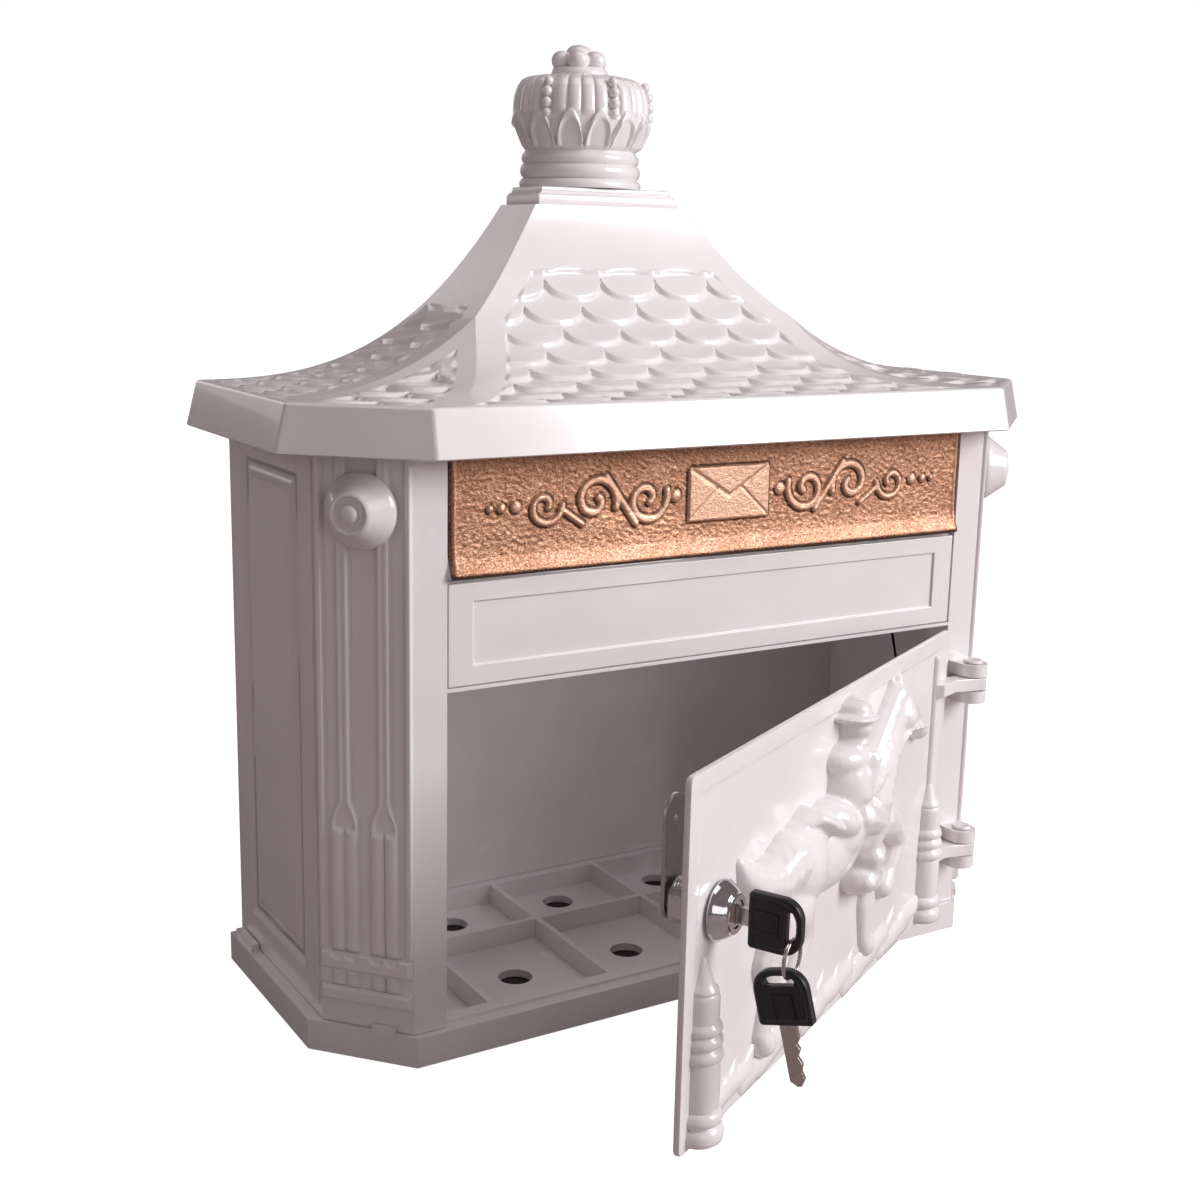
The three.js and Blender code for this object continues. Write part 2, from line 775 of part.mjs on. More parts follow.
function lockNut() {
  const nut = bar(lockAt(doorBack + gap), lockAt(doorBack + 5), 12.6, undefined, 6);
  const bore = bar(lockAt(doorBack - 1), lockAt(doorBack + 6), barrelRadius + gap, undefined, 24);
  return cut(nut, bore);
}

function lockPlug() {
  const body = bar(lockAt(bezelFront + 0.6), lockAt(barrelEnd + 0.6), plugRadius);
  const tail = block(
    [lockX - tailHalf, barrelEnd, lockZ - tailHalf],
    [lockX + tailHalf, barrelEnd + 2.8, lockZ + tailHalf],
  );
  const keyway = block(
    [lockX - keyThick / 2 - gap, bezelFront - 1, lockZ - keyWidth / 2 - gap],
    [lockX + keyThick / 2 + gap, barrelEnd - 4, lockZ + keyWidth / 2 + gap],
  );
  const thread = bar(lockAt(barrelEnd - 2), lockAt(barrelEnd + 4), camScrewRadius + gap, undefined, 8);
  return cut(joined(body, tail), keyway, thread);
}

function lockCam() {
  const near = barrelEnd + 0.9;
  const far = near + 1.8;
  const cam = solid(camPlate(near, far));
  const side = tailHalf + gap;
  const square = block([lockX - side, near - 1, lockZ - side], [lockX + side, far + 1, lockZ + side]);
  const dimple = bar([lockX, near - 1, lockZ + 34], [lockX, far + 1, lockZ + 34], 2, undefined, 8);
  return cut(cam, square, dimple);
}

// A strap with round ends that stands up from the lock's axis.
function camPlate(near, far) {
  const shape = new THREE.Shape();
  shape.absarc(0, camLength - camHalf, camHalf, 0, Math.PI, false);
  shape.absarc(0, 0, camHalf, Math.PI, 2 * Math.PI, false);
  const options = { depth: far - near, bevelEnabled: false, curveSegments: 10 };
  const plate = new THREE.ExtrudeGeometry(shape, options);
  plate.rotateX(Math.PI / 2);
  plate.translate(lockX, far, lockZ);
  return plate;
}

function camScrew() {
  const seat = barrelEnd + 0.9 + 1.8 + gap;
  return joined(
    bar(lockAt(barrelEnd - 1.5), lockAt(seat + 0.2), camScrewRadius, undefined, 8),
    bar(lockAt(seat), lockAt(seat + 2), 4.6, 3.8, 12),
  );
}

// A key lies in the y-z plane of its own frame: the blade runs to +Y, the bow to -Y.
function flatShape(points, thick) {
  const shape = new THREE.Shape(points.map(([y, z]) => new THREE.Vector2(y, z)));
  const plate = new THREE.ExtrudeGeometry(shape, { depth: thick, bevelEnabled: false });
  plate.applyMatrix4(
    new THREE.Matrix4().makeBasis(
      new THREE.Vector3(0, 1, 0),
      new THREE.Vector3(0, 0, 1),
      new THREE.Vector3(1, 0, 0),
    ),
  );
  plate.translate(-thick / 2, 0, 0);
  return solid(plate);
}

function keyBladeShape() {
  const half = keyWidth / 2;
  const outline = [
    [-2, -half],
    [4, -half],
    [6, -half + 1.4],
    [8, -half + 0.4],
    [11, -half + 2],
    [14, -half + 0.6],
    [17, -half + 1.6],
    [20, -half + 0.8],
    [bladeLength, -0.8],
    [bladeLength, 0.8],
    [bladeLength - 2, half],
    [-2, half],
  ];
  return flatShape(outline, keyThick);
}

function keyBowShape() {
  const half = bowWidth / 2;
  const end = -bowLength;
  const outline = [
    [gap - 2, -half + 2.5],
    [gap - 2, half - 2.5],
    [-4, half],
    [end + 7, half - 0.6],
    [end + 2, half - 3.4],
    [end, half - 8],
    [end, -half + 8],
    [end + 2, -half + 3.4],
    [end + 7, -half + 0.6],
    [-4, -half],
  ];
  const slot = block(
    [-bowThick, end + slotOffset - slotWidth / 2, -slotLength / 2],
    [bowThick, end + slotOffset + slotWidth / 2, slotLength / 2],
  );
  const socket = block(
    [-keyThick / 2 - gap, -2 - gap, -keyWidth / 2 - gap],
    [keyThick / 2 + gap, 5, keyWidth / 2 + gap],
  );
  return cut(flatShape(outline, bowThick), slot, socket);
}

const keyShoulder = bezelFront - 3.4; // where the bow of the key in the lock begins

function keyRingShape() {
  const torus = new THREE.TorusGeometry(ringRadius, ringWire, 6, 20);
  torus.rotateX(Math.PI / 2);
  return solid(torus);
}

// ---- Screws ------------------------------------------------------------------------------
// A screw from its head's seat to its tip.
function screw(seat, tip, headRadius, headHeight) {
  const a = new THREE.Vector3(...seat);
  const back = a.clone().sub(new THREE.Vector3(...tip)).normalize();
  const head = a.clone().addScaledVector(back, headHeight);
  return joined(
    bar(a.clone().addScaledVector(back, 0.1).toArray(), tip, screwRadius, undefined, 8),
    bar(seat, head.toArray(), headRadius, headRadius * 0.8, 12),
  );
}

// ---- Assembly ----------------------------------------------------------------------------
const mailbox = new THREE.Group();
const cabinet = new THREE.Group();
mailbox.add(cabinet);

cabinet.add(
  mesh("base_tray", baseTray(), white),
  mesh("back_plate", backPlate(), white),
  mesh("side_panel_left", sidePanel(-1), white),
  mesh("side_panel_right", sidePanel(1), white),
  mesh("front_casting", frontCasting(), white),
  mesh("name_panel", namePanel(), white),
  mesh("roof_shell", roofShell(), white),
  mesh("finial_crown", finialCrown(), white),
);

for (const [side, sign] of [["left", -1], ["right", 1]]) {
  cabinet.add(
    mesh(`corner_rosette_${side}`, rosette(sign), white),
    mesh(`rosette_screw_${side}`, rosetteScrew(sign), steel),
    mesh(`flap_pin_${side}`, flapPin(sign), steel),
  );
  const spot = panelScrew(sign);
  const webBack = -cabinetPlan.depth + 6 + gap;
  const panelFixing = screw([spot.x, webBack, spot.z], [spot.x, webBack - 4.2, spot.z], 3.6, 2);
  cabinet.add(mesh(`panel_screw_${side}`, panelFixing, steel));
  for (const [level, z] of Object.entries(backScrewHeights)) {
    const x = sign * rearScrewX;
    const shape = joined(
      bar([x, -sheet, z], [x, -10.5, z], screwRadius, undefined, 8),
      bar([x, -0.1, z], [x, -sheet - 0.1, z], 3.9, screwRadius, 12),
    );
    cabinet.add(mesh(`back_screw_${level}_${side}`, shape, steel));
  }
}

for (const { name, x, y } of posts) {
  const roofSeat = cabinetTop - bossLength - gap;
  cabinet.add(
    mesh(`base_screw_${name}`, screw([x, y, 3.2 - gap], [x, y, cabinetBottom + 14], 3.9, 2.4), steel),
    mesh(`roof_screw_${name}`, screw([x, y, roofSeat], [x, y, soffit + 5], 3.9, 2.4), steel),
  );
}

for (const [level, top] of Object.entries(hingeTops)) {
  cabinet.add(mesh(`hinge_pin_${level}`, hingePin(top), white));
}

cabinet.add(
  mesh(
    "finial_screw",
    screw([0, crownScrew.y, crownScrew.bottom], [0, crownScrew.y, crownScrew.top], 3.9, 2.4),
    steel,
  ),
);

mailbox.add(mesh("letter_flap", letterFlap(), copper));

// The door turns about its hinge line, and carries the lock and the keys.
const doorSwing = new THREE.Group();
doorSwing.position.set(hingeX, hingeY, 0);
doorSwing.rotation.z = doorOpen;
const door = new THREE.Group();
door.position.set(-hingeX, -hingeY, 0);
doorSwing.add(door);
mailbox.add(doorSwing);

door.add(
  mesh("door_panel", doorPanel(), white),
  mesh("lock_barrel", lockBarrel(), chrome),
  mesh("lock_nut", lockNut(), steel),
  mesh("lock_plug", lockPlug(), chrome),
  mesh("lock_cam", lockCam(), steel),
  mesh("cam_screw", camScrew(), steel),
);

// The first key sits in the lock, the ring hangs from its bow, and the spare key from the ring.
const key = new THREE.Group();
key.position.set(lockX, keyShoulder, lockZ);
key.add(mesh("key_blade", keyBladeShape(), steel), mesh("key_bow", keyBowShape(), black));
door.add(key);

const ringTop = -slotLength / 2 + ringWire + ringRoom; // the wire hangs in the lower end of the slot
const ringHang = new THREE.Group();
ringHang.position.set(0, -bowLength + slotOffset, ringTop - ringRadius);
ringHang.add(mesh("key_ring", keyRingShape(), steel));
key.add(ringHang);

const spare = new THREE.Group();
spare.position.set(0, 0, -ringRadius);
spare.rotation.x = -Math.PI / 2 - spareTilt;
const spareKey = new THREE.Group();
spareKey.position.set(0, bowLength - slotOffset + slotWidth / 2 - ringWire - ringRoom, spareShift);
spareKey.add(mesh("spare_key_blade", keyBladeShape(), steel), mesh("spare_key_bow", keyBowShape(), black));
spare.add(spareKey);
ringHang.add(spare);

mailbox.position.z = -originHeight;

export default mailbox;
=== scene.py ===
"""Wall mounted mailbox in white powder coated cast aluminium, with a hammered copper letter flap.

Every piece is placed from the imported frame. Sizes are in millimetres above the tray's underside,
which lies ORIGIN_HEIGHT below the frame's origin. into_frame() turns them into the frame's metres.
The stage and its lamps are given in metres of the frame.
"""

import json
import math

import bmesh
import bpy
import numpy as np
from mathutils import Matrix, Vector, noise


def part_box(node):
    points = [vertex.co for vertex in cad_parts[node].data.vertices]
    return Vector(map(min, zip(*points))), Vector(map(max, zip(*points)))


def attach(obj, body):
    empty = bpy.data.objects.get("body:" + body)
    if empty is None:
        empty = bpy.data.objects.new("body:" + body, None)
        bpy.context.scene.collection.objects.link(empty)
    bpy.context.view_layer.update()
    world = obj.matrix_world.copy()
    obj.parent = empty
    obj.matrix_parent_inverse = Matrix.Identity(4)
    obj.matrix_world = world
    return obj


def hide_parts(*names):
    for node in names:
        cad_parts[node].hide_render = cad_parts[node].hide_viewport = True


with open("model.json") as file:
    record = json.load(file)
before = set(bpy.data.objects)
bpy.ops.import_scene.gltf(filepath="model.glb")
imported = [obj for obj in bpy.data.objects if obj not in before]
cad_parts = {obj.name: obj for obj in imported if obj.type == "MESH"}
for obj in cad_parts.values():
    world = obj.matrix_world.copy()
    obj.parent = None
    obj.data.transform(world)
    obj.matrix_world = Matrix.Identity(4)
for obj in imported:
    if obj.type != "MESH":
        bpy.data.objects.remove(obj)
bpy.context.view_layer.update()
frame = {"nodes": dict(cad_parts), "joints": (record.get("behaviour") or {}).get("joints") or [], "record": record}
nodes = frame["nodes"]

MM = 0.001
ORIGIN_HEIGHT = -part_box("base_tray")[0].z / MM  # the tray's underside is this far below the origin


def mm_box(node):
    """A CAD node's lowest and highest corner, in millimetres above the tray's underside."""
    lift = Vector((0, 0, ORIGIN_HEIGHT))
    return [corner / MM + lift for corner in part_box(node)]


# ---- Materials ----
class Look:
    """A node based material with a Principled shader."""

    def __init__(self, name, **settings):
        self.material = bpy.data.materials.new(name)
        self.material.use_nodes = True
        self.tree = self.material.node_tree
        self.shader = self.tree.nodes["Principled BSDF"]
        for socket, value in settings.items():
            self.shader.inputs[socket.replace("_", " ")].default_value = value
        self.place = self.node("ShaderNodeNewGeometry").outputs["Position"]

    def node(self, kind, inputs=(), **settings):
        made = self.tree.nodes.new(kind)
        for key, value in settings.items():
            setattr(made, key, value)
        for socket, value in dict(inputs).items():
            if isinstance(value, bpy.types.NodeSocket):
                self.tree.links.new(value, made.inputs[socket])
            else:
                made.inputs[socket].default_value = value
        return made

    def calc(self, operation, *values):
        return self.node("ShaderNodeMath", dict(enumerate(values)), operation=operation).outputs[0]

    def link(self, output, socket):
        self.tree.links.new(output, self.shader.inputs[socket])

    def noise(self, scale, detail=2.0, stretch=None, distortion=0.0):
        place = self.place
        if stretch:
            scaled = self.node("ShaderNodeVectorMath", {0: place, 1: stretch}, operation="MULTIPLY")
            place = scaled.outputs[0]
        inputs = {"Vector": place, "Scale": scale, "Detail": detail, "Distortion": distortion}
        return self.node("ShaderNodeTexNoise", inputs).outputs["Fac"]

    def ramp(self, fac, *stops):
        made = self.node("ShaderNodeValToRGB", {"Fac": fac})
        points = made.color_ramp.elements
        while len(points) < len(stops):
            points.new(0.5)
        for point, (position, color) in zip(points, stops):
            point.position = position
            point.color = (*color, 1) if len(color) == 3 else color
        return made.outputs["Color"]

    def spread(self, fac, low, high):
        made = self.node("ShaderNodeMapRange", {"Value": fac, "To Min": low, "To Max": high})
        return made.outputs["Result"]

    def bump(self, height, distance, strength=1.0, below=None):
        inputs = {"Height": height, "Distance": distance, "Strength": strength}
        if below:
            inputs["Normal"] = below
        return self.node("ShaderNodeBump", inputs).outputs["Normal"]


def powder_coat():
    """Gloss white powder coat: orange peel, faint waviness and a few dull specks."""
    look = Look("gloss_white_powder_coat", Coat_Weight=0.35, Coat_Roughness=0.06, IOR=1.5)
    tone = look.noise(26, 3)
    look.link(look.ramp(tone, (0.3, (0.80, 0.755, 0.765)), (0.7, (0.84, 0.80, 0.81))), "Base Color")
    look.link(look.spread(look.noise(30, 1), 0.2, 0.3), "Roughness")
    wave = look.bump(look.noise(60, 0), 0.0003, 0.12)
    look.link(look.bump(look.noise(420, 1), 0.00005, 0.35, wave), "Normal")
    return look.material


def antique_copper():
    """Copper paint rubbed back over a hammered casting: dark in the hollows, bright on the crests. The flap's
    attribute for this also holds a painted highlight on the lip and painted shade along the lip's bottom edge.
    """
    look = Look("antique_copper", IOR=1.5)
    crest_wear_and_lip_light = look.node("ShaderNodeAttribute", attribute_name="crest_wear_and_lip_light").outputs["Fac"]
    grain = look.noise(900, 3, (1, 1, 1.6), 0.6)
    blotch = look.noise(55, 3)
    rubbed = look.calc("MULTIPLY", grain, 0.9)
    worn = look.calc("ADD", crest_wear_and_lip_light, rubbed)
    faded = look.calc("MULTIPLY_ADD", blotch, 0.22, -0.11)
    tone = look.calc("ADD", worn, faded)
    brown, mid, light = (0.07, 0.03, 0.016), (0.42, 0.20, 0.11), (0.76, 0.47, 0.33)
    look.link(look.ramp(tone, (0.44, brown), (0.72, mid), (1.0, light)), "Base Color")
    look.link(look.spread(tone, 0.56, 0.4), "Roughness")
    look.link(look.spread(tone, 0.25, 0.72), "Metallic")
    look.link(look.bump(grain, 0.0006, 0.6), "Normal")
    return look.material


def plated(name, low, high, rough, stretch):
    """Plated or polished metal with fine marks along one direction."""
    look = Look(name, Metallic=1.0)
    marks = look.noise(500, 3, stretch)
    look.link(look.ramp(marks, (0.3, low), (0.7, high)), "Base Color")
    look.link(look.spread(look.noise(90, 3), *rough), "Roughness")
    look.link(look.bump(marks, 0.00006, 0.4), "Normal")
    return look.material


def moulded_plastic():
    look = Look("moulded_black_plastic", IOR=1.46)
    fine = look.noise(1400, 2)
    dark, worn = (0.012, 0.011, 0.014), (0.022, 0.02, 0.025)
    look.link(look.ramp(look.noise(80, 2), (0.3, dark), (0.7, worn)), "Base Color")
    look.link(look.spread(fine, 0.3, 0.44), "Roughness")
    look.link(look.bump(fine, 0.00008, 0.35), "Normal")
    return look.material


MATERIALS = {
    "white_powder_coat": powder_coat(),
    "antique_copper": antique_copper(),
    "zinc_steel": plated("zinc_steel", (0.42, 0.41, 0.40), (0.60, 0.59, 0.58), (0.26, 0.42), (1, 1, 6)),
    "lock_chrome": plated("lock_chrome", (0.66, 0.66, 0.68), (0.76, 0.76, 0.78), (0.06, 0.16), (1, 1, 1)),
    "key_steel": plated("key_steel", (0.46, 0.42, 0.40), (0.64, 0.60, 0.57), (0.18, 0.32), (1, 1, 7)),
    "black_plastic": moulded_plastic(),
}

BODY_OF = {n: body for body, members in frame["record"]["behaviour"]["bodies"].items() for n in members}
SLOT_OF = {s["node"]: s["material_slot"] for s in frame["record"]["subparts"]}


# ---- Mesh building ----
def full_turn(count):
    return np.linspace(0, 2 * math.pi, count, endpoint=False)


def turned(profile, count):
    """Rings of a (radius, height) profile turned about the Z axis."""
    return [[(r * math.cos(a), r * math.sin(a), z) for a in full_turn(count)] for r, z in profile]


def corner_arc(u, v, radius, start, count):
    """Points on a quarter of a circle about (u, v), from a start angle in degrees."""
    turn = [math.radians(start + 90 * k / (count - 1)) for k in range(count)]
    return [(u + radius * math.cos(a), v + radius * math.sin(a)) for a in turn]


def mesh_of(made, name):
    mesh = bpy.data.meshes.new(name)
    made.to_mesh(mesh)
    made.free()
    return mesh


class Shape:
    """Grids, caps and lathes gathered into one mesh, in millimetres above the tray's underside."""

    def __init__(self):
        self.points = []
        self.faces = []

    def add(self, points, faces):
        start = len(self.points)
        self.points.extend(tuple(p) for p in points)
        self.faces.extend(tuple(start + i for i in face) for face in faces)
        return self

    def grid(self, p, wrap=False):
        """Quads over an array of rows and columns of points; wrap closes each row on itself."""
        rows, cols = p.shape[:2]
        i, j = np.meshgrid(np.arange(rows - 1), np.arange(cols if wrap else cols - 1), indexing="ij")
        k = (j + 1) % cols
        quads = np.stack([i * cols + j, i * cols + k, (i + 1) * cols + k, (i + 1) * cols + j], -1)
        return self.add(p.reshape(-1, 3).tolist(), quads.reshape(-1, 4).tolist())

    def cap(self, ring):
        return self.add([tuple(map(float, p)) for p in ring], [range(len(ring))])

    def closed(self, p):
        """A wrapped grid with both ends capped."""
        return self.grid(p, wrap=True).cap(p[0][::-1]).cap(p[-1])

    def lathe(self, profile, count=48):
        """A (radius, height) profile turned about the Z axis, closed at both ends."""
        return self.closed(np.array(turned(profile, count)))

    def ball(self, centre, radii, count=20):
        tilt = np.linspace(-math.pi / 2, math.pi / 2, count // 2 + 1)[1:-1]
        profile = [(0.02, -1), *((math.cos(a), math.sin(a)) for a in tilt), (0.02, 1)]
        return self.closed(np.array(turned(profile, count)) * radii + centre)

    def slab(self, front, back):
        """A front and a back grid joined along their edges."""
        edges = [[*p[0], *p[1:, -1], *p[-1, ::-1][1:], *p[::-1, 0][1:-1]] for p in (front, back)]
        return self.grid(front).grid(back).grid(np.array(edges), wrap=True)

    def moved(self, matrix):
        self.points = [tuple(matrix @ Vector(p)) for p in self.points]
        return self

    def bm(self):
        made = bmesh.new()
        verts = [made.verts.new(p) for p in self.points]
        for face in self.faces:
            try:
                made.faces.new([verts[i] for i in face])
            except ValueError:
                continue  # the same face given twice
        bmesh.ops.remove_doubles(made, verts=made.verts, dist=0.0005)
        bmesh.ops.recalc_face_normals(made, faces=made.faces)
        return made


def into_frame(made):
    """Takes a bmesh from millimetres above the tray's underside to metres in the row's frame."""
    matrix = Matrix.Scale(MM, 4) @ Matrix.Translation((0, 0, -ORIGIN_HEIGHT))
    bmesh.ops.transform(made, verts=made.verts, matrix=matrix)


def piece(name, made, node=None, body=None, slot=None, sharp=35, modifiers=(), raw=False):
    """Turns a bmesh in millimetres into a finished object that stands for a CAD node."""
    if not raw:
        into_frame(made)
    obj = placed(name, mesh_of(made, name))
    for kind, settings in modifiers:
        modifier = obj.modifiers.new(kind.lower(), kind)
        for key, value in settings.items():
            setattr(modifier, key, value)
    if modifiers:
        settle(obj)
    finish_piece(obj, node, body, slot, sharp)
    return obj


def edge_bevel(width, segments, angle):
    """Bevel settings for a width in millimetres and the smallest edge angle in degrees."""
    angle_limit = math.radians(angle)
    return {"width": width * MM, "segments": segments, "limit_method": "ANGLE", "angle_limit": angle_limit}


def placed(name, data):
    """A new object in the scene."""
    obj = bpy.data.objects.new(name, data)
    bpy.context.scene.collection.objects.link(obj)
    return obj


def settle(obj):
    """Applies the modifiers."""
    bpy.context.view_layer.update()
    made = bpy.data.meshes.new_from_object(obj.evaluated_get(bpy.context.evaluated_depsgraph_get()))
    obj.modifiers.clear()
    obj.data = made


def finish_piece(obj, node, body, slot, sharp):
    slot = slot or SLOT_OF[node]
    obj.data.materials.clear()
    obj.data.materials.append(MATERIALS[slot])
    obj.data.shade_smooth()
    obj.data.set_sharp_from_angle(angle=math.radians(sharp))
    weighted = obj.modifiers.new("weighted", "WEIGHTED_NORMAL")
    weighted.keep_sharp = True
    settle(obj)
    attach(obj, body or BODY_OF[node])
    if node:
        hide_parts(node)


def rounded(node, width):
    """A copy of a hard edged CAD node with its edges rounded off."""
    made = bmesh.new()
    made.from_mesh(nodes[node].data)
    bmesh.ops.remove_doubles(made, verts=made.verts, dist=1e-6)
    bmesh.ops.dissolve_limit(made, angle_limit=math.radians(1), verts=made.verts, edges=made.edges)
    bevel = edge_bevel(width, 2, 28)
    return piece(f"{node}_cast", made, node, raw=True, modifiers=[("BEVEL", bevel)])


def smooth(x):
    x = np.clip(x, 0, 1)
    return x * x * (3 - 2 * x)


# ---- Camera, light and floor ----
def set_camera():
    data = bpy.data.cameras.new("camera")
    data.sensor_width = 36
    data.lens = 47.83
    data.shift_x, data.shift_y = 0.0104, -0.0086
    camera = placed("camera", data)
    heading, pitch, roll = Vector((0.5164, 0.8563, 0)), math.radians(12.03), math.radians(1.16)
    forward = heading.normalized() * math.cos(pitch) - Vector((0, 0, math.sin(pitch)))
    right = forward.cross(Vector((0, 0, 1))).normalized()
    up = right.cross(forward)
    x_axis = right * math.cos(roll) + up * math.sin(roll)
    y_axis = up * math.cos(roll) - right * math.sin(roll)
    turn = Matrix((x_axis, y_axis, -forward)).transposed()
    camera.matrix_world = Matrix.Translation((-0.4336, -0.7390, 0.2120)) @ turn.to_4x4()
    bpy.context.scene.camera = camera


def area_light(name, place, target, size, energy, color=(1, 1, 1)):
    data = bpy.data.lights.new(name, "AREA")
    data.shape = "RECTANGLE"
    data.size, data.size_y = size
    data.energy = energy
    data.color = color
    light = placed(name, data)
    light.location = place
    light.rotation_euler = (Vector(target) - Vector(place)).to_track_quat("-Z", "Y").to_euler()


def set_stage():
    bpy.context.scene.view_settings.view_transform = "Standard"
    world = bpy.data.worlds.new("studio")
    world.use_nodes = True
    tree = world.node_tree
    room = tree.nodes["Background"]
    room.inputs["Color"].default_value = (1.0, 0.78, 0.79, 1)
    room.inputs["Strength"].default_value = 0.19
    backdrop = tree.nodes.new("ShaderNodeBackground")
    backdrop.inputs["Color"].default_value = (1, 1, 1, 1)
    backdrop.inputs["Strength"].default_value = 1.0
    seen = tree.nodes.new("ShaderNodeLightPath")
    mix = tree.nodes.new("ShaderNodeMixShader")
    tree.links.new(seen.outputs["Is Camera Ray"], mix.inputs["Fac"])
    tree.links.new(room.outputs[0], mix.inputs[1])
    tree.links.new(backdrop.outputs[0], mix.inputs[2])
    tree.links.new(mix.outputs[0], tree.nodes["World Output"].inputs["Surface"])
    bpy.context.scene.world = world

    mesh = bpy.data.meshes.new("floor")
    half, drop = 30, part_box("base_tray")[0].z - 0.0005
    square = [(-half, -half, drop), (half, -half, drop), (half, half, drop), (-half, half, drop)]
    mesh.from_pydata(square, [], [(0, 1, 2, 3)])
    floor = placed("floor", mesh)
    look = Look("pale_floor", Roughness=0.7, Emission_Color=(1, 1, 1, 1))
    # The floor is painted dark under the tray, a painted shadow, so that the drain holes look dark.
    away = look.node("ShaderNodeSeparateXYZ", {0: look.place}).outputs
    aside = look.calc("GREATER_THAN", look.calc("ABSOLUTE", away[0]), 0.155)
    ahead = look.calc("LESS_THAN", away[1], -0.14)
    behind = look.calc("GREATER_THAN", away[1], -0.001)
    outside_painted_shadow = look.calc("MAXIMUM", look.calc("MAXIMUM", aside, ahead), behind)
    # Painted shadow: near black under the tray, pale floor elsewhere.
    look.link(look.ramp(outside_painted_shadow, (0.0, (0.03, 0.024, 0.022)), (1.0, (0.36, 0.29, 0.29))), "Base Color")
    glow = look.node("ShaderNodeLightPath").outputs["Is Camera Ray"]
    look.link(look.calc("MULTIPLY", glow, outside_painted_shadow), "Emission Strength")
    mesh.materials.append(look.material)

    area_light("key", (1.5, -1.7, 1.05), (0.03, -0.1, 0.05), (1.1, 1.3), 52)
    area_light("front_fill", (-0.25, -2.4, 0.5), (0, 0, 0), (1.2, 0.9), 4)
    area_light("top", (0.2, -0.5, 1.9), (0, -0.1, 0), (1.2, 1.2), 6)
    area_light("rear", (-0.7, 2.2, 0.9), (0, 0, 0.05), (1.6, 1.2), 7)
    area_light("inside", (-0.02, -0.07, 0.1), (-0.05, -0.05, -0.1), (0.2, 0.08), 0.05)
    area_light("left_edge", (-2.2, -0.1, 0.5), (-0.1, -0.1, 0), (0.8, 1.2), 2)


set_camera()
set_stage()

# ---- Roof ----
EAVE = {"half": 209.9, "side": 118.5, "front": 157.9, "depth": 163.8}
SKIRT_BOTTOM, SKIRT_TOP, SKIRT_LEAN, SKIRT_THICK = 272.7, 293.8, 5.5, 4.4
SOFFIT = 286.0
ROOF_TOP, ROOF_TOP_HALF, ROOF_TOP_DEPTH = 378.4, 44.0, 36.0
SLOPE_POWER, DEPTH_POWER = 2.75, 1.15
CHAMFER_START, CHAMFER_DEEP = 92.0, 41.0
CHAMFER_RATIO = (EAVE["half"] - EAVE["front"]) / (EAVE["depth"] - EAVE["side"])
HALF_HOLLOW = {"half": 158, "side": 84, "front": 124, "depth": 118}


def corners(plan, inset=0, back=0):
    """The corners of a half octagon, moved inwards, with its open side on the wall."""
    across, along = plan["half"] - plan["front"], plan["depth"] - plan["side"]
    length = math.hypot(across, along)
    nx, ny = along / length, across / length
    reach = nx * plan["half"] + ny * plan["side"] - inset
    half, depth = plan["half"] - inset, plan["depth"] - inset
    side, front = (reach - nx * half) / ny, (reach - ny * depth) / nx
    left = [(-half, back), (-half, -side), (-front, -depth)]
    return np.array(left + [(-x, y) for x, y in reversed(left)], float)


def slope_level(share):
    """The roof's plan and height at a share of the way from the eave to the top."""
    half = (EAVE["half"] - SKIRT_LEAN) * (1 - share) + ROOF_TOP_HALF * share
    depth = ROOF_TOP_DEPTH + (EAVE["depth"] - SKIRT_LEAN - ROOF_TOP_DEPTH) * (1 - share) ** DEPTH_POWER
    spread = min(1, max(0, (half - CHAMFER_START) / (EAVE["half"] - SKIRT_LEAN - CHAMFER_START)))
    chop = max(0.2, CHAMFER_DEEP * math.sin(math.pi / 2 * spread))
    plan = {"half": half, "side": depth - chop, "front": half - chop * CHAMFER_RATIO, "depth": depth}
    return plan, SKIRT_TOP + (ROOF_TOP - SKIRT_TOP) * share**SLOPE_POWER


SHINGLE_PITCH, SHINGLE_ROW = 32.0, 15.0
SHINGLE_TIP, SHINGLE_RISE = 12.0, 4.3
FIELD_DEEP = 3.2
FIELD_TOP_SHARE = 0.85


def shingles(u, down):
    """Height of fish scale shingles over a field's floor; u runs across and down from the field's top."""
    rows = int(down.max() / SHINGLE_ROW) + 2
    height = np.zeros_like(u)
    for row in reversed(range(-1, rows)):
        shift = SHINGLE_PITCH / 2 if row % 2 else 0
        dx = (u + shift + SHINGLE_PITCH / 2) % SHINGLE_PITCH - SHINGLE_PITCH / 2
        share = np.clip(np.abs(dx) / (SHINGLE_PITCH / 2), 0, 1)
        edge = (row + 1) * SHINGLE_ROW + 3 - SHINGLE_TIP * (1 - np.sqrt(1 - share**2.3))
        inside = edge - down
        laid = smooth((inside + 0.9) / 2.8)
        plate = SHINGLE_RISE * (1 - 0.8 * smooth(inside / 24)) * (1 - 0.3 * share**2)
        height = height * (1 - laid) + plate * laid
    return height


